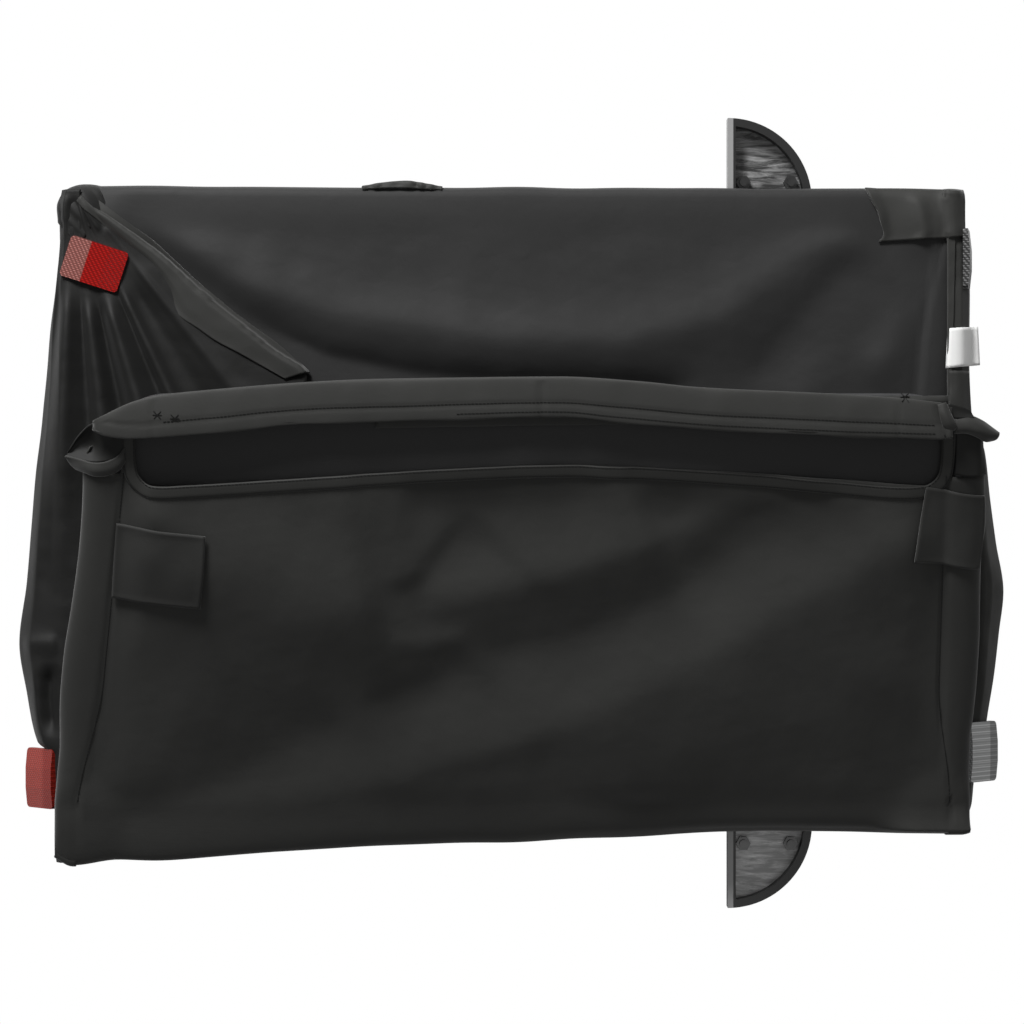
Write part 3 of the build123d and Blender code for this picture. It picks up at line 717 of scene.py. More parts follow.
# %% Measures of the right wall
right_rear = smooth([
    (-40, -438), (-30, -450), (-16, -455), (14, -454), (50, -450), (81, -446), (123, -444),
    (177, -437.6), (230, -427.3),
    (295, -416.6), (345, -411.5), (372, -410), (400, -400), (450, -395),
])
right_front = smooth([
    (-20, 454), (18, 454), (57, 452), (87, 451.6), (113, 453.3), (156, 455.1), (190, 455.4),
    (243, 453.7), (277, 453), (314, 455.5), (343, 453.6), (393, 450.2), (450, 449),
])
right_low = smooth([
    (-361, 355), (-336, 353.2), (-202, 360.2), (0, 370.2), (46, 371.5), (150, 367), (275, 358.2),
    (375, 351.2), (411, 352),
])
right_folds = [
    ([(-350, -30), (-190, 20), (20, 90), (180, 170), (320, 260), (410, 320)], 12, 40, 80, 60),
    ([(-400, 0), (-310, 140), (-230, 210), (-160, 230), (-60, 220)], 5, 80, 60, 60),
    ([(-90, 230), (60, 270), (170, 310), (290, 400)], 8, 30, 30, 40),
    ([(-30, 320), (-60, 290), (-90, 250), (-120, 240)], -6, 80, 10, 20),
    ([(-120, 200), (-90, 190), (-40, 200)], 3, 10, 10, 20),
    ([(-150, 120), (-70, 150), (-40, 180)], -6, 20, 40, 30),
    ([(-40, 180), (50, 190), (170, 250), (270, 340)], -4, 20, 40, 40),
    ([(-370, -10), (-220, 80), (-150, 110)], -7, 40, 80, 40),
    ([(-420, 320), (-320, 270), (-240, 270), (-170, 230), (-120, 240)], 14, 80, 80, 40),
    ([(-360, -20), (-150, 30), (70, 80)], -6, 30, 60, 60),
    ([(70, 50), (290, 120), (390, 190)], 8, 80, 80, 60),
    ([(-410, 20), (-380, 90), (-380, 220)], 2, 30, 30, 40),
    ([(-110, 330), (40, 340), (90, 360)], -7, 30, 50, 30),
    ([(120, 320), (200, 350), (240, 400)], -14, 80, 80, 30),
    ([(-370, 350), (-330, 310)], 4, 10, 10, 20),
    ([(-370, 320), (-340, 300)], -3, 10, 10, 10),
    ([(-230, 350), (-230, 330)], -1, 3, 4, 8),
    ([(370, 230), (410, 240)], 1, 3, 3, 8),
]
right_side = Side(-1, 19, 108.0, 434.0, -374.0, 426.0, (right_rear, right_front),
                  (-361.0, 411.0), right_low, right_folds)
right_skirt_edge = smooth([
    (-456, -342), (-437, -351), (-391, -345), (-352, -346), (-234, -338), (-107, -331),
    (0, -328), (131, -322), (215, -317.5), (304, -317.5), (400, -319), (446, -320), (456, -318),
])


def right_kept(u, v):
    """False in the window and above the sleeves' mouths, whose far sides stand higher."""
    curl_top, mouth_top = 0.93, 0.893
    if u < 0.35 and v > window_high:
        return False
    if wall_stops[3] < u < wall_stops[4]:
        return not window_low < v < window_high
    if u < wall_stops[1] or u > wall_stops[6]:
        return v < curl_top
    return wall_stops[2] <= u <= wall_stops[5] or v < mouth_top


# %% The right wall
right_rim_z = smooth([(-456, 106), (-420, 106), (-300, 104), (200, 104), (454, 106)])
skirt_under_z = 61.5
right_skirt = skirt_of(right_side, right_skirt_edge, right_rim_z, skirt_under_z, over_lugs=16.0)
right_place = wall_place(right_side, right_skirt)
wall_right = sheet_mesh("wall_right", 300, 124, right_place, wall_cloth, keep=right_kept)
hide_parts("side_wall_right", "side_sleeve_right", "side_skirt_right")
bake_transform(wall_right)
print("right wall", len(wall_right.data.polygons), "cells")

# %% Measures of the left wall
left_rear = smooth([
    (-40, -438), (-28, -448), (-8, -453), (20, -453), (100, -449), (200, -440), (300, -432), (420, -424),
])
left_front = smooth([(-30, 453), (0, 453), (100, 452), (200, 444), (300, 436), (420, 428)])
left_low = smooth([(-361, 345), (0, 350), (361, 345)])
left_folds = [
    ([(-380, -10), (-340, 35), (-280, 75), (-180, 105), (-30, 130), (110, 135), (210, 110), (290, 65),
      (350, 10)], 9, 30, 30, 40),
    ([(350, 40), (270, 130), (240, 180)], -4, 15, 35, 40),
    ([(340, 25), (260, 90), (220, 110)], -3, 15, 25, 40),
    ([(-390, 15), (-280, 100), (-195, 165)], -12, 30, 20, 40),
    ([(-240, 145), (-100, 170), (0, 180), (190, 185)], -12, 60, 15, 50),
    ([(60, 30), (120, 20), (200, 15)], -2, 15, 40, 40),
    ([(-300, 15), (-60, 20)], -3, 15, 25, 40),
    ([(-250, 80), (-150, 95), (-50, 90)], -3, 60, 60, 40),
    ([(410, 90), (390, 140), (350, 175)], 6, 20, 60, 40),
    ([(295, 115), (275, 160), (275, 200)], -2, 50, 15, 40),
    ([(-220, 40), (-210, 65)], -1, 3, 5, 8),
]
left_side = Side(1, 0, 76.0, 418.0, -400.0, 400.0, (left_rear, left_front),
                 (-361.0, 361.0), left_low, left_folds)
left_skirt_edge = smooth([
    (-456, 318), (-430, 327), (-392, 327), (-300, 327), (-160, 326), (0, 326), (160, 325),
    (300, 325), (440, 324), (454, 319),
])


def left_kept(u, v):
    """False in the window."""
    return not (wall_stops[3] < u < wall_stops[4] and window_low < v < window_high)


# %% The left wall
left_rim_z = smooth([(-456, 82), (-300, 80), (300, 80), (454, 82)])
left_place = wall_place(left_side, skirt_of(left_side, left_skirt_edge, left_rim_z, skirt_under_z))
wall_left = sheet_mesh("wall_left", 300, 124, left_place, left_painted_shade_cloth, keep=left_kept)
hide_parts("side_wall_left", "side_sleeve_left", "side_skirt_left")
over_left_hinge = {"start": (0, 0.322, 0.070), "end": (0, 0.300, 0.094)}
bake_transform(wall_left)
print("left wall", len(wall_left.data.polygons), "cells")

# %% [markdown]
# ## The end cloths
# The rear panel is folded in between the side frames. It starts from a narrow fan of pleats at the
# rear left corner, and its hem runs from there over the left wall. Beyond the end rail the cloth is slack and
# bulges out. One sheet makes all of it: rows run across the trailer, and each row is a path from
# under the bulge, round its outer edge, over the rail and on to the hem.

# %% Lay an end cloth
rail_out, bulge_under = 453.0, 57.0  # the end rails' outer side, and the bulge's underside


def end_place(end, rim, inner, y_left, y_right, lift, rail_z):
    """Place function of an end cloth: u runs from under the bulge to the inner edge."""
    stops = [0.0, 0.10, 0.20, 0.30, 0.40, 0.46, 1.0]

    def place(u, v):
        y = y_left + v * (y_right - y_left)
        out = np.abs(rim(y))
        near = np.minimum(rail_out, out - 3.0)
        reach = out - near
        xs = [near - 3, near + reach * 0.7, out, near + reach * 0.72, near - 3, near - 17, end * inner(y)]
        zs = [bulge_under, 56.5, 69.0, rail_z - 9, rail_z - 1, rail_z, rail_z]
        spot = np.interp(u, stops, np.arange(7.0))
        k = np.floor(np.clip(spot, 0, 5.999)).astype(int)
        t = spot - k
        soft = np.where(k < 5, ease(t) * 0.35 + t * 0.65, t)
        xs = np.stack([a + 0 * y for a in xs])
        zs = np.stack([a + 0 * y for a in zs])
        x = row_of(xs, k) * (1 - soft) + row_of(xs, k + 1) * soft
        z = row_of(zs, k) * (1 - soft) + row_of(zs, k + 1) * soft
        steps = np.hypot(np.diff(xs, axis=0), np.diff(zs, axis=0))
        starts = np.concatenate([0 * steps[:1], np.cumsum(steps, axis=0)[:-1]])
        flat = row_of(starts, k) + row_of(steps, k) * soft
        turn = np.clip((u - 0.10) / 0.20, 0, 1) * math.pi
        slack = np.minimum(reach, 14.0) * 0.30
        swell = slack * np.sin(turn) * (u > 0.10) * (u < 0.30)
        x = x + swell - slack * np.sin(math.pi * np.clip(u / 0.3, 0, 1)) * 0.2
        z = z + lift(end * x, y) * ease((u - 0.16) / 0.14)
        return end * x, y, z, flat, -y

    return place


# %% The fan of pleats in the rear cloth
fan_x, fan_y = -437.0, 324.0
lens_x, lens_y, lens_clear = -416, 247, 46  # pleats die out this far round the reflector's middle
# Each pleat's direction in degrees, its height and its width in degrees.
pleats = [
    (-13.0, 3.5, 3.0), (-8.0, -4.0, 2.6), (-3.0, 8.0, 3.2), (3.6, -3.0, 1.6), (7.0, 6.0, 2.4),
    (11.8, -5.0, 2.2), (17.0, 11.0, 2.9), (22.3, -3.0, 1.5), (25.2, 5.0, 1.5), (31.0, -5.0, 4.0),
    (38.5, 2.0, 1.6),
]


def rear_lift(x, y):
    """Pleats that run out from the corner, and slow folds further down."""
    run = np.hypot(x - fan_x, y - fan_y)
    angle = np.degrees(np.arctan2(x - fan_x, fan_y - y))
    grow = ease(run / 130) * (0.8 + 0.2 * ease((run - 100) / 150)) * (1 - 0.7 * ease((60 - y) / 150))
    clear = 1 - 0.92 * np.exp(-((np.hypot(x - lens_x, y - lens_y) / lens_clear) ** 6))
    grow = grow * clear
    z = 1.4 * sum(tall * np.exp(-(((angle - middle) / wide) ** 2)) for middle, tall, wide in pleats) * grow
    z = z + crest(x, y, [(-429, 312), (-421, 296), (-411, 281)], 3.2, 4, 3, 8)
    z = z - crest(x, y, [(-423, 314), (-414, 298), (-404, 283)], 3.0, 3, 5, 8)
    z = z + crest(x, y, [(-443, 318), (-447, 304), (-449, 288)], 2.6, 4, 4, 8)
    z = z - crest(x, y, [(-436, 316), (-438, 302), (-437, 286)], 2.4, 4, 4, 8)
    low = ease((90 - y) / 120)
    z = z + low * crest(x, y, [(-470, 120), (-476, 0), (-480, -100)], 3.5, 9, 12, 60)
    z = z - low * crest(x, y, [(-452, 130), (-458, 0), (-466, -90)], 3.5, 7, 8, 60)
    z = z + crest(x, y, [(-492, -131), (-470, -129), (-452, -128)], 4.0, 7, 16, 10)
    z = z - crest(x, y, [(-460, -150), (-462, -185), (-458, -225)], 9.0, 8, 9, 24)
    z = z + crest(x, y, [(-474, -140), (-476, -190), (-474, -235)], 3.0, 7, 7, 24)
    return z + 2.0 * clear + waves(x, y, 60, 0.5, 11) + waves(x, y, 24, 0.18, 12)


rear_rim = smooth([
    (-351, -455), (-343, -456), (-300, -456), (-242, -459), (-230, -473), (-180, -484),
    (-131, -491.5), (-70, -484), (-16, -479.5), (40, -475), (84, -469.5), (140, -464.5),
    (184, -461.5), (240, -455), (280, -452), (305, -453), (324, -450),
])
rear_inner = smooth([
    (-352, -440), (-343, -420), (-300, -330), (-240, -215), (-150, -205), (100, -205), (137, -205),
    (162, -238), (190, -273), (222, -312), (258, -352), (290, -396), (312, -427), (324, -436),
])

# %% The rear cloth
rear_place = end_place(-1, rear_rim, rear_inner, 323.0, -349.0, rear_lift, 94.5)
cloth_rear = sheet_mesh("cloth_rear", 120, 260, rear_place, painted_shade_cloth)
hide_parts("rear_panel", "end_bundle_rear")
over_rear_rail = {"start": (-0.466, 0, 0.084), "end": (-0.440, 0, 0.092)}
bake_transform(cloth_rear)
print("rear cloth", len(cloth_rear.data.polygons), "cells")

# %% The front cloth
front_rim = smooth([
    (-320, 449), (-309, 452), (-300, 459), (-292, 461), (-268, 463), (-238, 470), (-200, 476), (-163, 482),
    (-120, 487), (-79, 491.5), (-30, 484), (15, 478), (60, 473), (100, 461), (160, 459), (222, 459.5),
    (280, 455), (324, 452),
])
front_inner = smooth([(-320, 380), (-280, 300), (-240, 250), (90, 250), (104, 380), (118, 438), (324, 444)])


def front_lift(x, y):
    """A soft standing fold along the bulge, and slow waves."""
    z = crest(x, y, [(470, 0), (470, -90), (468, -180)], 5.0, 9, 6, 50)
    z = z - crest(x, y, [(460, 10), (459, -90), (457, -190)], 5.0, 6, 6, 50)
    z = z - crest(x, y, [(462, -225), (458, -260)], 3.0, 6, 6, 20)
    return z + waves(x, y, 60, 0.6, 21) + waves(x, y, 24, 0.2, 22)


front_place = end_place(1, front_rim, front_inner, 322.0, -318.0, front_lift, 93.0)
cloth_front = sheet_mesh("cloth_front", 90, 220, front_place, front_cloth)
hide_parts("front_panel", "end_bundle_front")
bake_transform(cloth_front)
print("front cloth", len(cloth_front.data.polygons), "cells")

# %% [markdown]
# ## Curtains under the right side frame
# The right side frame stands open towards its top, so cloth closes the gap at each end: a pleated
# curtain that hangs from the sleeve's outer edge down on the end cloth.

# %% Pleated curtains
def curtain_place(side, end, low_x, low_z, top_s):
    """Place function of a curtain: u runs up the post, v from the sleeve down."""

    def place(u, v):
        s = 8 + u * (top_s - 8)
        edge = side.front_edge(s) if end > 0 else side.rear_edge(s)
        hang_x, hang_y, hang_z = side.to_frame(edge - end * 5, s, np.full_like(s, -3.0))
        drop = np.maximum(hang_z - low_z, 4.0)
        pleat = 2.0 * np.sin(u * 34 + 1.5 * np.sin(u * 9)) * np.sin(math.pi * v * 0.9) * ease(drop / 40)
        foot_run = low_x(hang_y)
        x = hang_x * (1 - v) + foot_run * v + end * (pleat - 6 * np.sin(math.pi * v) * ease(drop / 60))
        z = hang_z - drop * v
        y = hang_y + side.sign * 5 * np.sin(math.pi * v) * ease(drop / 60)
        return x, y, z, s, v * drop

    return place


rear_foot = smooth([(-300, -446), (-150, -432), (0, -414), (60, -402), (110, -392)])
front_foot = smooth([(-300, 446), (-150, 446), (0, 446), (110, 440)])
for end, foot in ((-1, rear_foot), (1, front_foot)):
    place = curtain_place(right_side, end, foot, 93.0, 366.0)
    name = "curtain_front" if end > 0 else "curtain_rear"
    curtain = sheet_mesh(name, 110, 22, place, painted_shade_cloth, thick=1.0, outside=0.0)
    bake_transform(curtain)
    print(name, len(curtain.data.polygons), "cells")

# %% Narrow gussets of the left side frame
for end in (-1, 1):
    def gusset_place(u, v, end=end):
        """u runs up the post, v from the sleeve down to the rail."""
        s = 6 + u * 400
        edge = left_side.front_edge(s) if end > 0 else left_side.rear_edge(s)
        x, y, z = left_side.to_frame(edge - end * 3, s, -3.0 - 9 * v)
        return x + end * 2.5 * np.sin(v * math.pi + u * 30), y, z, s, v * 12

    name = "gusset_front" if end > 0 else "gusset_rear"
    gusset = sheet_mesh(name, 80, 5, gusset_place, painted_shade_cloth, thick=1.0, outside=0.0)
    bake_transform(gusset)
    print(name, len(gusset.data.polygons), "cells")

# %% [markdown]
# ## Rain flaps and windows
# A double-layer flap is sewn along each top tube and hangs over the upper edge of the mesh window.
# Its section is a path from the hanging lip up over the tube and round behind it. The window is a
# separate piece of net, sunk a little, with a tape sewn round its rounded corners.

# %% Lay a rain flap
def flap_place(side, rear_x, front_x, rise, drop, behind):
    """Place function of a flap: u along the tube, v from the lip over the tube and back under it."""

    def place(u, v):
        x = rear_x + u * (front_x - rear_x)
        up, low = rise(x), drop(x)
        wide = up - low
        s_path = np.stack([low + 3.0, low - 0.3, low + 0.10 * wide, low + 0.5 * wide, up - 0.10 * wide,
                           up, up - 3, np.minimum(up - 8, side.top - 2)])
        tall = ease(wide / 24)
        level = 11.6 + (side.top + 9 - s_path) * math.tan(side.tilt) * 0.95
        level = level + np.array([-5.0, -1.6, 0.2, 0.9, 0.0, -2.2, -9.0, 0.0])[:, None]
        level[-1] = behind
        n_path = 9.5 + (level - 9.5) * tall
        s, n = curve_at(s_path, v), curve_at(n_path, v)
        middle = np.exp(-(((v - 0.45) / 0.22) ** 2))
        n = n + middle * tall * (waves(x, v * 40, 90, 0.7, 31) + waves(x, v * 40, 30, 0.2, 32))
        hem = np.exp(-(((s - (low + 13)) / 1.6) ** 2)) * (v < 0.5)
        n = n - 0.9 * hem * tall
        for at, lean, deep, wide_x in side.creases:
            off = x - at - lean * (440 - s)
            n = n - deep * tall * np.exp(-((off / wide_x) ** 2)) * ease((0.62 - v) / 0.1)
        s = s + waves(x, 0 * x, 110, 0.8, 33) * (v < 0.2)
        px, py, pz = side.to_frame(x, s, n)
        return px, py, pz, x, v * (wide * 2.0)

    return place


right_rise = smooth([
    (-397, 420), (-378, 430), (-356, 439), (-330, 444.5), (-294, 448), (-200, 455), (-129, 458),
    (-58, 459), (45, 460), (120, 456), (177, 451), (328, 444), (408, 437), (420, 432),
])
right_drop = smooth([
    (-397, 411), (-385, 408), (-362, 405), (-295, 409), (-200, 418), (-106, 421), (45, 425), (102, 420),
    (178, 414), (273, 409), (367, 406), (410, 405), (420, 406),
])
left_rise = smooth([(-405, 430), (-200, 434), (0, 436), (200, 434), (405, 430)])
left_drop = smooth([(-405, 390), (-200, 386), (0, 384), (200, 386), (405, 390)])

# Creases across each flap: where they start, how far they lean, their depth and their width.
right_side.creases = [
    (-338.7, 0.0, 1.0, 1.8), (28.0, 0.0, 1.1, 3.0), (366.0, 0.0, 0.8, 2.0), (401.0, 0.33, 2.2, 3.0),
]
left_side.creases = []

# %% The two rain flaps
for side, label, body, rear_x, front_x, rise, drop, behind in (
    (right_side, "right", "right_side", -397.0, 416.0, right_rise, right_drop, -13.0),
    (left_side, "left", "left_side", -400.0, 400.0, left_rise, left_drop, -12.0),
):
    place = flap_place(side, rear_x, front_x, rise, drop, behind)
    flap = sheet_mesh("rain_flap_" + label, 240, 42, place, flap_cloth, thick=2.2)
    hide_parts("top_band_" + label)
    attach(flap, body)
    print(flap.name, len(flap.data.polygons), "cells")

# %% Window net and its binding tape
def net_place(side, top_s):
    """Place function of a window's net, sunk a little under the wall."""

    def place(u, v):
        x = side.window[0] - 7 + u * (side.window[1] - side.window[0] + 14)
        low = side.low(x) - 6
        s = low + v * (top_s - low)
        n = 2.0 + 0.8 * np.cos(math.pi * (v - 0.5)) + waves(x, s, 90, 0.5, 41)
        px, py, pz = side.to_frame(x, s, n)
        return px, py, pz, x, s

    return place


def binding_path(side, corner, top_s, steps):
    """Middle line of the tape round the window's lower edge and ends, in the wall's plane."""
    left, right = side.window[0] - 3.0, side.window[1] + 3.0
    points = [(left, top_s)]
    low_left, low_right = side.low(left + corner) - 4, side.low(right - corner) - 4
    for a in np.linspace(0, math.pi / 2, 7):
        points.append((left + corner * (1 - math.cos(a)), low_left + corner * (1 - math.sin(a))))
    for x in np.linspace(left + corner + 30, right - corner - 30, 17):
        points.append((x, float(side.low(x)) - 4))
    for a in np.linspace(math.pi / 2, 0, 7):
        points.append((right - corner * (1 - math.cos(a)), low_right + corner * (1 - math.sin(a))))
    points.append((right, top_s))
    return path_through(points, steps)


# %% Lay a tape along a line on a wall
def tape_place(side, line, width, lift):
    """Place function of a tape that lies on a wall along line."""
    way = np.gradient(line, axis=0)
    way /= np.linalg.norm(way, axis=1)[:, None]
    run = np.concatenate([[0], np.cumsum(np.linalg.norm(np.diff(line, axis=0), axis=1))])

    def place(u, v):
        at = u * run[-1]
        cx, cs = np.interp(at, run, line[:, 0]), np.interp(at, run, line[:, 1])
        dx, ds = np.interp(at, run, way[:, 0]), np.interp(at, run, way[:, 1])
        off = (v - 0.5) * width
        x, s = cx - ds * off, cs + dx * off
        crown = 1 - np.abs(2 * v - 1) ** 6
        under = [side.outside(cx - ds * o, cs + dx * o) for o in (-6.5, -3, 0, 3, 6.5)]
        n = np.max(under, axis=0) * 0.6 + side.outside(x, s) * 0.4 + lift * (0.35 + 0.65 * crown)
        px, py, pz = side.to_frame(x, s, n)
        return px, py, pz, at, off

    return place


window_corner, tape_width = 24.0, 13.0
for side, label, body, top_s in (
    (right_side, "right", "right_side", 424.0), (left_side, "left", "left_side", 402.0),
):
    net = sheet_mesh("window_net_" + label, 120, 12, net_place(side, top_s), window_net, thick=0.6)
    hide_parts("window_" + label)
    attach(net, body)
    line = binding_path(side, window_corner, top_s - 8, 320)
    place = tape_place(side, line, tape_width, 1.4)
    binding = sheet_mesh("binding_" + label, 320, 6, place, binding_cloth, thick=1.6)
    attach(binding, body)
    print(net.name, binding.name, "done")

# %% [markdown]
# ## Pieces sewn on the cloth
# Tabs, a flap and tapes lie on the walls. Each is a small grid between a left and a right edge. We
# let it fall on the cloth below along the wall's normal, smooth what it met, as stiff webbing
# would, and lift it by its thickness.

# %% Fall on the cloth below
def surface_of(*pieces):
    """A search tree of the outer surfaces of these pieces."""
    points, faces = [], []
    for piece in pieces:
        first = len(points)
        points += [v.co.copy() for v in piece.data.vertices]
        faces += [[first + i for i in f.vertices] for f in piece.data.polygons]
    return BVHTree.FromPolygons(points, faces)


right_cloth = surface_of(wall_right)
rear_top = surface_of(cloth_rear, wall_left)
front_top = surface_of(cloth_front, wall_left)


look_from, look_down, no_cloth = 70.0, 110.0, 8.0


def met(tree, side, x, s):
    """How far above a side's plane the cloth lies at x and s. Where there is none, it is the lowest
    height that was met, or no_cloth."""
    c, d = math.cos(side.tilt), math.sin(side.tilt)
    way = Vector((0, side.sign * d, c))
    heights = []
    for a, b in zip(np.ravel(x), np.ravel(s)):
        start = Vector(side.to_frame(a, b, look_from)) / 1000
        hit = tree.ray_cast(start, -way, look_down / 1000)
        heights.append(look_from - hit[3] * 1000 if hit[0] is not None else np.nan)
    heights = np.array(heights).reshape(np.shape(x))
    lowest = np.nanmin(heights)
    return np.where(np.isnan(heights), lowest if np.isfinite(lowest) else no_cloth, heights)


# %% A patch between two edges
def patch(name, side, tree, left, right, across, along, material, lift=1.4, thick=1.2, ease_over=6,
          shape=None, body=None):
    """A sewn patch. left and right are the patch's side edges from top to bottom in the plane."""
    left, right = path_through(left, along), path_through(right, along)

    def place(u, v):
        row = np.round(v * along).astype(int)
        x = left[row, 0] * (1 - u) + right[row, 0] * u
        s = left[row, 1] * (1 - u) + right[row, 1] * u
        n = met(tree, side, x, s)
        cell = np.zeros((across + 1, along + 1))
        column = np.round(u * across).astype(int)
        cell[column, row] = n
        for _ in range(ease_over):
            wide = np.pad(cell, 1, mode="edge")
            cell = (wide[:-2, 1:-1] + wide[2:, 1:-1] + wide[1:-1, :-2] + wide[1:-1, 2:] + 2 * cell) / 6
        n = np.maximum(cell[column, row], n - 1.0) + lift
        if shape is not None:
            n = n + shape(u, v)
        px, py, pz = side.to_frame(x, s, n)
        return px, py, pz, x, s

    piece = sheet_mesh(name, across, along, place, material, thick=thick)
    if body:
        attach(piece, body)
    return piece


# %% Tabs on the right wall
def curled(u, v):
    """Edges that lift a little, and a soft dent in the middle."""
    rim = np.maximum(np.abs(2 * u - 1), np.abs(2 * v - 1))
    dent = 0.6 * np.exp(-(((u - 0.55) / 0.3) ** 2))
    return 0.9 * ease((rim - 0.8) / 0.2) - dent + waves(u * 80, v * 70, 60, 0.35, 51)


tab_rear = patch(
    "tab_rear", right_side, right_cloth,
    [(-379, 317), (-383, 278), (-386.5, 241)], [(-293, 307.5), (-295.5, 270), (-300, 234)],
    30, 26, tab_cloth, lift=1.9, thick=1.6, shape=curled, body="right_side",
)
tab_front = patch(
    "tab_front", right_side, right_cloth,
    [(395, 353.5), (390, 316), (385.5, 280)], [(451.5, 343.5), (452.5, 305), (450, 268.5)],
    30, 28, wall_cloth, lift=2.2, thick=1.6, shape=lambda u, v: 0.6 * curled(u, v), body="right_side",
)
print("tabs sewn on")

# %% [markdown]
# Where a sleeve ends its cloth stands open, and the corner of the right wall ends in a small pointed
# pocket. These pieces curl in more than one direction. They could be sculpted, but a few rows of
# points with a smooth surface through them keep every place readable and easy to move.

# %% Lofted pieces
def loft(name, side, rows, across, along, material, thick=1.4, shape=None, body="right_side"):
    """A piece through rows of (x, s, n) points in a side's plane, rear to front in each row."""
    rows = np.array([path_through(row, across) for row in rows])
    at = np.linspace(0, 1, len(rows))
    fine = np.linspace(0, 1, along + 1)
    grid = np.array([[smooth(list(zip(at, rows[:, i, k])), free=True)(fine) for k in range(3)]
                     for i in range(across + 1)])
    run_u, run_v = [
        np.concatenate([[0], np.cumsum(np.linalg.norm(np.diff(g, axis=0), axis=1).mean(axis=1))])
        for g in (grid, grid.transpose(2, 1, 0))
    ]

    def place(u, v):
        i, j = np.round(u * across).astype(int), np.round(v * along).astype(int)
        x, s, n = grid[i, 0, j], grid[i, 1, j], grid[i, 2, j]
        if shape is not None:
            n = n + shape(u, v)
        px, py, pz = side.to_frame(x, s, n)
        return px, py, pz, run_u[i], run_v[j]

    piece = sheet_mesh(name, across, along, place, material, thick=thick)
    if body:
        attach(piece, body)
    return piece


# %% Open mouths of the sleeves
loft("mouth_rear", right_side, [
    [(-427, 379.5, 1), (-412, 378.5, 5), (-400, 377, 8), (-386, 379, 11.5), (-374, 384, 12),
     (-367, 392, 11.5)],
    [(-426, 381, -1), (-414, 386, -3), (-401, 388, -4), (-388, 391, 7), (-377, 394, 11.5), (-366, 400, 11.5)],
    [(-424, 383, -2), (-414, 394, -5), (-402, 400, -5), (-389, 402, 6), (-378, 404, 11), (-365, 407, 11)],
    [(-422, 386, -1), (-412, 401, -2), (-399, 413, 0), (-388, 413, 8), (-378, 412, 11), (-364, 413, 10)],
], 34, 22, hollow_shade_cloth)
loft("collar_rear", right_side, [
    [(-418, 366, -3), (-410, 366, 5), (-398, 364, 12), (-384, 365.5, 14), (-373, 371, 13.5),
     (-367.5, 379, 12.5)],
    [(-423, 372, -2), (-411, 372, 8), (-399, 370.5, 14), (-385, 372, 16), (-374, 377.5, 15.5),
     (-368, 386, 14)],
    [(-427, 380.5, 1), (-412, 379.5, 6), (-400, 378, 11), (-386, 380, 15), (-374.5, 385.5, 14.5),
     (-368, 394, 13)],
], 36, 10, wall_cloth, thick=2.0)
loft("mouth_front", right_side, [
    [(422, 366, 12.5), (434, 364, 13.8), (446, 364, 12.5), (452.5, 365, 7)],
    [(422, 392, 11.5), (434, 392, 11), (446, 394, 8), (449, 396, 2)],
    [(421, 410, 11), (434, 411, 10), (447, 410, 7), (452, 408, 2)],
], 18, 22, hollow_shade_cloth)

# %% Pointed pocket at the front end of the right wall
loft("pocket_front", right_side, [
    [(421, 424, 10), (432, 424, 11), (444, 419, 11), (455, 411, 10), (461.5, 406, 9.5)],
    [(420, 421, 15), (432, 420, 17), (444, 415.5, 17), (454, 409, 15), (461, 405, 12)],
    [(419, 414, 17), (431, 414, 19), (443, 410.5, 19), (452, 405, 16), (459, 402.5, 12)],
    [(419, 409, 14), (431, 409.5, 15), (442, 405, 15), (449, 400.5, 13), (455, 400.5, 10)],
], 30, 16, wall_cloth, thick=2.0)
loft("pocket_lining", right_side, [
    [(412, 437, 12), (423, 434, 11), (434, 429, 10)],
    [(414, 431, 13), (425, 428, 12), (436, 424.5, 11)],
    [(418, 422.5, 15), (427, 422.5, 15), (437, 422.5, 14)],
], 14, 8, hollow_shade_cloth)
loft("pocket_rim", right_side, [
    [(409.5, 438, 12), (413, 430, 15), (418, 421, 18), (421, 416, 18)],
    [(406.5, 437, 13), (409.5, 428, 19), (413.5, 419, 21), (417, 412, 19)],
    [(402, 436, 13), (404, 427, 17), (407, 418, 18), (411, 410, 16)],
], 16, 10, flap_cloth)
loft("pocket_rivet", right_side, [
    [(446.3, 411.5, 18.2), (450.3, 411.5, 17.2)],
    [(446.3, 407.5, 18.0), (450.3, 407.5, 17.0)],
], 2, 2, hollow_shade_cloth, thick=0.8)
print("mouths and pocket sewn on")

# %% [markdown]
# The left side's corners are closed by three sewn pieces: a flap at the front, the rear cloth's hem,
# and cloth gathered into the rear corner. The flap and the hem lie on what is below them, so they are
# patches. The gathered cloth turns over the corner's edge, so it is a loft, and so is a ruffled bit
# of cloth on the skirt.

# %% Flap over the front left corner
def corner_flap_shape(u, v):
    """One standing crease and an edge that stands off at the rear."""
    crease = 3.0 * np.exp(-(((u - 0.50) / 0.08) ** 2)) * ease(v / 0.3)
    lip = 4.5 * np.exp(-((u / 0.08) ** 2)) * (1 - ease((v - 0.5) / 0.5))
    return crease + lip + waves(u * 90, v * 50, 50, 0.5, 52)


corner_flap = patch(
    "corner_flap", left_side, front_top,
    [(353.5, -19.5), (358.5, -8), (365.5, 5), (368.5, 15), (372, 27), (367, 34)],
    [(451.5, -17), (452.5, -8), (452.5, 3), (452.5, 12), (452.5, 22), (452.5, 29.5)],
    34, 22, flap_cloth, lift=2.2, thick=1.8, shape=corner_flap_shape,
)
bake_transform(corner_flap)
print("corner flap sewn on")

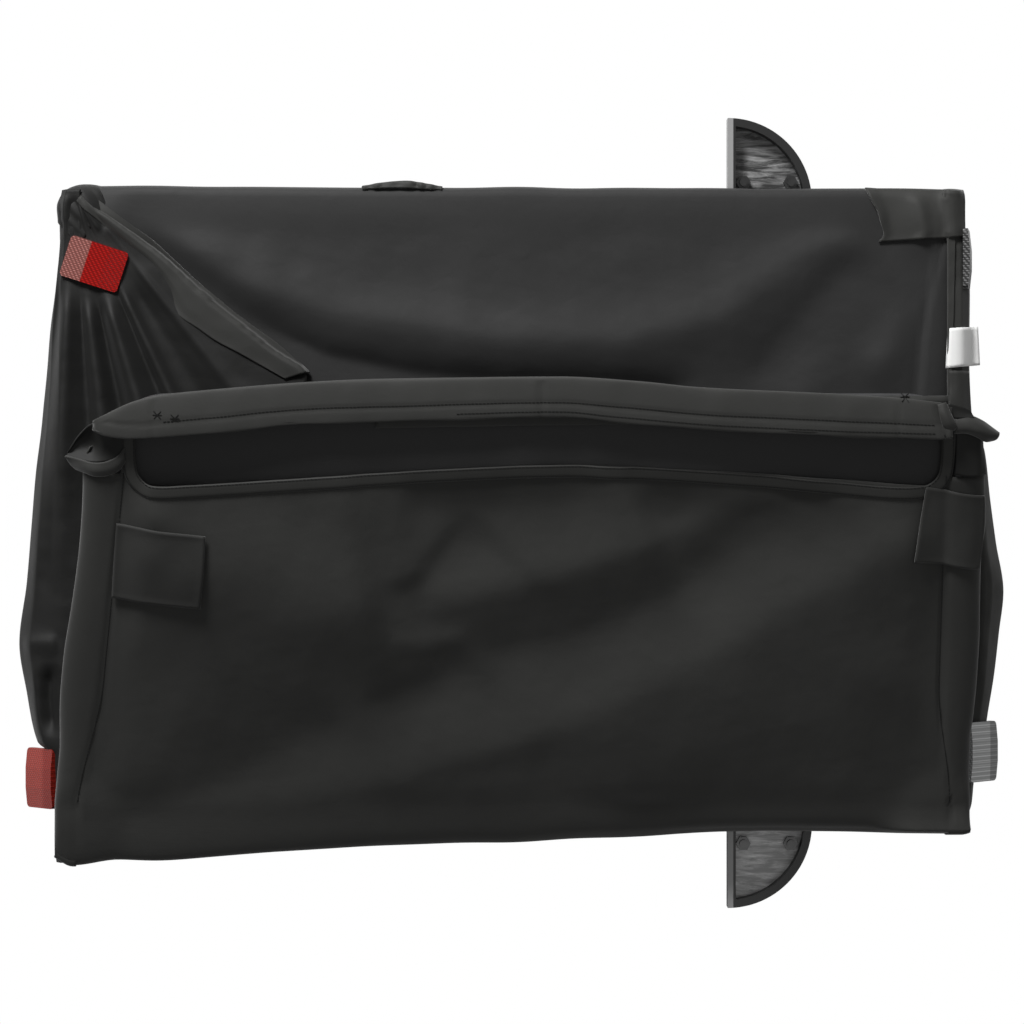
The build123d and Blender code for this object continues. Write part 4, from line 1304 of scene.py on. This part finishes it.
# %% Hem along the rear cloth's edge
hem = patch(
    "rear_hem", left_side, rear_top,
    [(-434, -6), (-429, 0), (-405, 20), (-384, 40), (-360, 60), (-344, 84), (-336, 105), (-313, 121.5),
     (-295, 134), (-274, 145), (-249, 159), (-226, 172)],
    [(-427, -18), (-414, -8), (-400, 3), (-381, 17), (-361, 31), (-338, 52), (-313, 75),
     (-294, 91), (-277, 105), (-258, 119), (-238, 133), (-203, 165)],
    26, 100, flap_cloth, lift=1.6, thick=1.4, ease_over=4,
    shape=lambda u, v: (1.6 * ease(u / 0.8) * ease(v / 0.2)
                        - 5.0 * (1 - ease(u / 0.35)) * np.exp(-(((v - 0.34) / 0.20) ** 2))),
)
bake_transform(hem)
print("hem sewn on")

# %% Gathered cloth over the rear left corner
def gathers(u, v):
    """Ribs that run in from the rim."""
    ribs = sum(tall * np.exp(-(((u - middle) / wide) ** 2)) for middle, tall, wide in (
        (0.20, 0.8, 0.05), (0.38, 1.2, 0.06), (0.50, -1.2, 0.05), (0.62, 1.5, 0.06), (0.76, -1.2, 0.05),
        (0.88, 0.9, 0.05)))
    return ease(v / 0.3) * (ribs + waves(u * 90, v * 30, 40, 0.5, 53))


corner_gather = loft("corner_gather", left_side, [
    [(-455, 14, -6), (-455, -8, -6), (-450, -17, -6), (-438, -23, -6), (-425, -24, -6), (-408, -21, -6)],
    [(-454, 14, 8), (-453.5, -6, 8), (-448, -14.5, 8), (-437, -20, 8), (-424, -21, 7), (-408, -18, 1)],
    [(-451, 18, 15), (-450, 1, 15.5), (-444, -8, 16), (-434, -14.5, 15.5), (-422, -15.5, 14), (-406, -13, 5)],
    [(-442, 28, 19), (-440, 13, 19.5), (-435, 4, 20), (-427, -3, 19), (-417, -7, 16), (-402, -6, 6)],
    [(-430, 40, 18), (-425, 28, 18), (-418, 17, 17), (-411, 10, 15), (-404, 5, 12), (-394, 2, 5)],
], 84, 30, painted_shade_cloth, shape=gathers, body=None)
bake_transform(corner_gather)

# %% Ruffled bit of cloth on the left skirt
def crumpled(u, v):
    """Uneven small folds that die out at the piece's long edges."""
    folds = np.sin(u * 29 + 3 * np.sin(u * 8)) * (0.5 + 0.5 * np.sin(u * 13 + 2) ** 2)
    return (1.7 * folds + waves(u * 80, v * 12, 14, 0.5, 54)) * ease(v / 0.4) * (1 - ease((v - 0.8) / 0.2))


ruffle = loft("skirt_ruffle", left_side, [
    [(-150, -21, -4), (-128, -23, -4), (-104, -24, -4), (-84, -22, -4), (-70, -20.5, -4)],
    [(-150, -21.5, 4), (-128, -25, 6), (-104, -26.5, 6), (-84, -23.5, 5), (-70, -21, 4)],
    [(-150, -19, 6), (-128, -20, 8), (-104, -20, 8), (-84, -19, 7), (-70, -18.5, 6)],
], 80, 10, wall_cloth, shape=crumpled, body=None)
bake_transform(ruffle)
print("corner and ruffle done")

# %% [markdown]
# A small label and a short strip are sewn to the front cloth. The label carries no print.

# %% Blank label and strip at the front
white_nylon = hard("label_white", (0.86, 0.86, 0.85), 0.7, grain=900.0, spread=0.02)
label = patch(
    "blank_label", left_side, front_top,
    [(436, 121), (435, 140), (434, 161)], [(468, 118.5), (469, 137), (470, 157)],
    14, 12, white_nylon, lift=2.4, thick=0.8,
)
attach(label, "base")
strip = patch(
    "front_strip", left_side, front_top,
    [(436, 163), (436, 185), (437, 207)], [(457, 163.5), (458, 185), (459, 207)],
    10, 14, wall_cloth, lift=1.8, thick=1.2,
)
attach(strip, "base")
print("label and strip sewn on")

# %% [markdown]
# ## Stitches
# Every stitch is a tiny bar of thread. The stitches of each part are one mesh, made bar by bar from
# create_cube with a matrix that turns the bar along the seam and up to the cloth. A line in the bump
# would be cheaper, but only real thread catches the light and casts its small shadow.

# %% Stitch along a line on a wall
thread_wide, thread_tall, thread_lift = 0.75, 0.6, 0.25


def stitch_bars(bm, side, tree, line, pitch=3.6, long=2.5):
    """Adds bars along line, a path in the side's plane that lies on tree's surface."""
    c, d = math.cos(side.tilt), math.sin(side.tilt)
    up = Vector((0, side.sign * d, c))
    line = np.array(line, float)
    run = np.concatenate([[0], np.cumsum(np.linalg.norm(np.diff(line, axis=0), axis=1))])
    at = np.arange(pitch / 2, run[-1], pitch)
    xs, ss = np.interp(at, run, line[:, 0]), np.interp(at, run, line[:, 1])
    ns = met(tree, side, xs, ss) + thread_lift
    spots = [Vector(side.to_frame(a, b, n)) / 1000 for a, b, n in zip(xs, ss, ns)]
    for i, spot in enumerate(spots):
        way = (spots[min(i + 1, len(spots) - 1)] - spots[max(i - 1, 0)]).normalized()
        across = up.cross(way).normalized()
        top = way.cross(across)
        sides = (way * long / 1000, across * thread_wide / 1000, top * thread_tall / 1000)
        turn = Matrix(sides).transposed().to_4x4()
        bmesh.ops.create_cube(bm, size=1.0, matrix=Matrix.Translation(spot) @ turn)
    return len(spots)


def offset_line(line, off):
    """line moved sideways by off."""
    line = np.array(line, float)
    way = np.gradient(line, axis=0)
    way /= np.linalg.norm(way, axis=1)[:, None]
    return line + np.stack([-way[:, 1], way[:, 0]], 1) * off


def stitched(name, seams, body=None, bend=None):
    """One mesh of stitches. seams holds (side, tree, line) for each row. When bend is given, the piece's
    transform is only made part of its mesh; the bodies and places in bend are not used."""
    bm = bmesh.new()
    count = sum(stitch_bars(bm, *seam) for seam in seams)
    mesh = bpy.data.meshes.new(name)
    bm.to_mesh(mesh)
    bm.free()
    piece = bpy.data.objects.new(name, mesh)
    bpy.context.scene.collection.objects.link(piece)
    mesh.materials.append(thread_black)
    if body:
        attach(piece, body)
    if bend:
        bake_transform(piece)
    print(name, count, "stitches")


# %% Stitches of the right wall
def rows(side, low_s, high_s, end):
    """The seam beside a post, as points."""
    s = np.linspace(low_s, high_s, 30)
    return np.stack([side.stitching(s, end), s], 1)


right_binding = binding_path(right_side, window_corner, 408.0, 160)
right_all = surface_of(wall_right, bpy.data.objects["binding_right"], tab_rear, tab_front,
                       bpy.data.objects["rain_flap_right"])
flap_x = np.linspace(-330, 400, 80)
middle_row = np.stack([flap_x, right_drop(flap_x) * 0.62 + right_rise(flap_x) * 0.38], 1)
lower_row = np.stack([flap_x, right_drop(flap_x) + 5.0], 1)[30:]
bartack = [(-3, -3), (3, 3), (0, 0), (-3, 3), (3, -3), (0, 0), (-4, 0), (4, 0)]
stitched("stitches_right", [
    *[(right_side, right_all, [(x + a, s + b) for a, b in bartack], 1.6, 2.2)
      for x, s in ((-335, 427), (-318.5, 424), (371.5, 442))],
    (right_side, right_all, offset_line(right_binding, 4.9)),
    (right_side, right_all, offset_line(right_binding, -4.9)),
    (right_side, right_all, rows(right_side, 24, 366, -1)),
    (right_side, right_all, rows(right_side, 24, 366, 1)),
    (right_side, right_all, middle_row),
    (right_side, right_all, lower_row),
    (right_side, right_all, [(-377, 314), (-384, 243)]),
    (right_side, right_all, [(-383, 243.5), (-302, 236.5)]),
    (right_side, right_all, [(-377, 314.5), (-296, 305)]),
    (right_side, right_all, [(-298, 303), (-303, 238)]),
    (right_side, right_all, [(397, 351), (388, 282)]),
    (right_side, right_all, [(388, 282.5), (447, 271)]),
    (right_side, right_all, [(398, 351), (449, 341.5)]),
], body="right_side")

# %% Stitches of the left wall, the hem and the corner flap
left_all = surface_of(wall_left, bpy.data.objects["binding_left"], bpy.data.objects["rain_flap_left"])
left_binding = binding_path(left_side, window_corner, 394.0, 160)
stitched("stitches_left", [
    (left_side, left_all, offset_line(left_binding, 4.9)),
    (left_side, left_all, offset_line(left_binding, -4.9)),
    (left_side, left_all, rows(left_side, 40, 390, -1)),
    (left_side, left_all, rows(left_side, 40, 390, 1)),
], body="left_side")
hem_all = surface_of(hem, corner_flap)
stitched("stitches_hem", [
    (left_side, hem_all, [(-333, 105), (-311, 118.5), (-293, 131), (-272, 142), (-247, 156),
                          (-226, 168.5)]),
    (left_side, hem_all, [(-331, 101), (-309, 114.5), (-291, 127), (-270, 138), (-245, 152),
                          (-223, 165)]),
    (left_side, hem_all, [(-365, 38), (-341, 59), (-316, 80), (-297, 96), (-280, 109), (-241, 138),
                          (-208, 167)]),
], bend=("base", "rear_end", over_rear_rail))
stitched("stitches_flap", [
    (left_side, hem_all, [(373, 27), (400, 27), (450, 23)]),
    (left_side, hem_all, [(373, 30.5), (400, 30.5), (450, 26.5)]),
], bend=("base", "left_side", over_left_hinge))

# %% [markdown]
# ## Floor and light
# A white floor shines only for the camera and for what is seen through a clear piece. If it shone on
# the cloth too, light from all sides would wash out the folds. Shining so, it hides the trailer's
# shadow, and glossy pieces mirror it as plain pale matt. The world adds a weak even light, and from a
# low view it is the grey behind the floor's far edge. A large soft lamp stands beyond the rear left
# corner, and a weak wider one hangs over the trailer.

# %% White floor
def backdrop(name):
    """White for the camera and through clear pieces; a plain pale surface for everything else."""
    material = bpy.data.materials.new(name)
    material.use_nodes = True
    tree = material.node_tree
    tree.nodes.clear()
    path = tree.nodes.new("ShaderNodeLightPath")
    shine = tree.nodes.new("ShaderNodeEmission")
    shine.inputs["Color"].default_value = (1, 1, 1, 1)
    matte = tree.nodes.new("ShaderNodeBsdfDiffuse")
    matte.inputs["Color"].default_value = (0.8, 0.8, 0.8, 1)
    mix = tree.nodes.new("ShaderNodeMixShader")
    seen = tree.nodes.new("ShaderNodeMath")
    seen.operation = "MAXIMUM"
    tree.links.new(path.outputs["Is Camera Ray"], seen.inputs[0])
    tree.links.new(path.outputs["Is Transmission Ray"], seen.inputs[1])
    tree.links.new(seen.outputs["Value"], mix.inputs["Fac"])
    tree.links.new(matte.outputs["BSDF"], mix.inputs[1])
    tree.links.new(shine.outputs["Emission"], mix.inputs[2])
    out = tree.nodes.new("ShaderNodeOutputMaterial")
    tree.links.new(mix.outputs["Shader"], out.inputs["Surface"])
    return material


bm = bmesh.new()
bmesh.ops.create_grid(bm, x_segments=1, y_segments=1, size=6.0)
floor_mesh = bpy.data.meshes.new("floor")
bm.to_mesh(floor_mesh)
bm.free()
floor = bpy.data.objects.new("floor", floor_mesh)
floor.location.z = -0.0005
bpy.context.scene.collection.objects.link(floor)
floor_mesh.materials.append(backdrop("floor_white"))

world = bpy.data.worlds.new("studio")
bpy.context.scene.world = world
world.use_nodes = True
sky = world.node_tree.nodes["Background"]
sky.inputs["Color"].default_value = (1, 1, 1, 1)
sky.inputs["Strength"].default_value = 0.19

# %% Soft lamps
def lamp(name, place, target, size, power):
    """A square soft lamp that looks at target."""
    light = bpy.data.lights.new(name, "AREA")
    light.shape = "SQUARE"
    light.size = size
    light.energy = power
    item = bpy.data.objects.new(name, light)
    item.location = place
    item.rotation_euler = (Vector(target) - Vector(place)).to_track_quat("-Z", "Y").to_euler()
    bpy.context.scene.collection.objects.link(item)


lamp("key", (-1.25, 2.75, 2.0), (0, 0, 0.1), 1.0, 170)
lamp("fill", (0.6, -0.6, 3.4), (0, 0, 0.1), 1.8, 10)
bpy.context.scene.view_settings.view_transform = "Standard"
print("lamps set")

# %% [markdown]
# ## Sizes of the cloth pieces
# For every piece of cloth we print the size of its flat cut, which we measure on its Flat map,
# along the cut's own long side, so that a piece that lies askew doesn't show too large a box.

def flat_cut(piece):
    """Width, length and area of a piece's flat cut, in metres, along its own long side."""
    corners = np.empty(len(piece.data.loops) * 2, np.float32)
    piece.data.uv_layers["Flat"].data.foreach_get("uv", corners)
    x, y = corners.reshape(-1, 4, 2).T.astype(float)
    ahead_x, ahead_y = np.roll(x, -1, axis=0), np.roll(y, -1, axis=0)
    area = np.abs((x * ahead_y - ahead_x * y).sum(axis=0)).sum() / 2
    points = np.stack([x.ravel() - x.mean(), y.ravel() - y.mean()])
    turned = np.linalg.svd(points @ points.T)[0].T @ points
    return float(np.ptp(turned[1])), float(np.ptp(turned[0])), float(area)


for names, held, rests_on, goes_with in (
    ("wall_right", "stretched", ["side_hoop_right"], ["stitches_right"]),
    ("wall_left", "stretched", ["side_hoop_left"], ["stitches_left"]),
    ("cloth_rear", "gathered", ["cross_rail_rear", "wall_left"], []),
    ("cloth_front", "gathered", ["cross_rail_front", "wall_left"], []),
    ("curtain_rear curtain_front", "gathered", ["side_hoop_right"], []),
    ("gusset_rear gusset_front", "hung", ["side_hoop_left"], []),
    ("rain_flap_right window_net_right", "hung", ["side_hoop_right"], []),
    ("rain_flap_left window_net_left", "hung", ["side_hoop_left"], []),
    ("binding_right tab_rear tab_front", "laid", ["wall_right"], []),
    ("mouth_rear collar_rear mouth_front pocket_lining pocket_rim", "folded", ["wall_right"], []),
    ("pocket_front", "folded", ["wall_right"], ["pocket_rivet"]),
    ("binding_left", "laid", ["wall_left"], []),
    ("corner_flap", "laid", ["wall_left", "cloth_front"], ["stitches_flap"]),
    ("rear_hem", "laid", ["cloth_rear", "wall_left"], ["stitches_hem"]),
    ("corner_gather", "gathered", ["wall_left", "cloth_rear"], []),
    ("skirt_ruffle", "gathered", ["wall_left"], []),
    ("blank_label front_strip", "laid", ["cloth_front"], []),
):
    for name in names.split():
        piece = bpy.data.objects[name]
        width, length, area = flat_cut(piece)
        hung = sum(face.area for face in piece.data.polygons)
        print(f"{name}: cut {width * 1000:.0f} x {length * 1000:.0f} mm, {area:.4f} m2,",
              f"hangs {hung / area:.2f} of it")
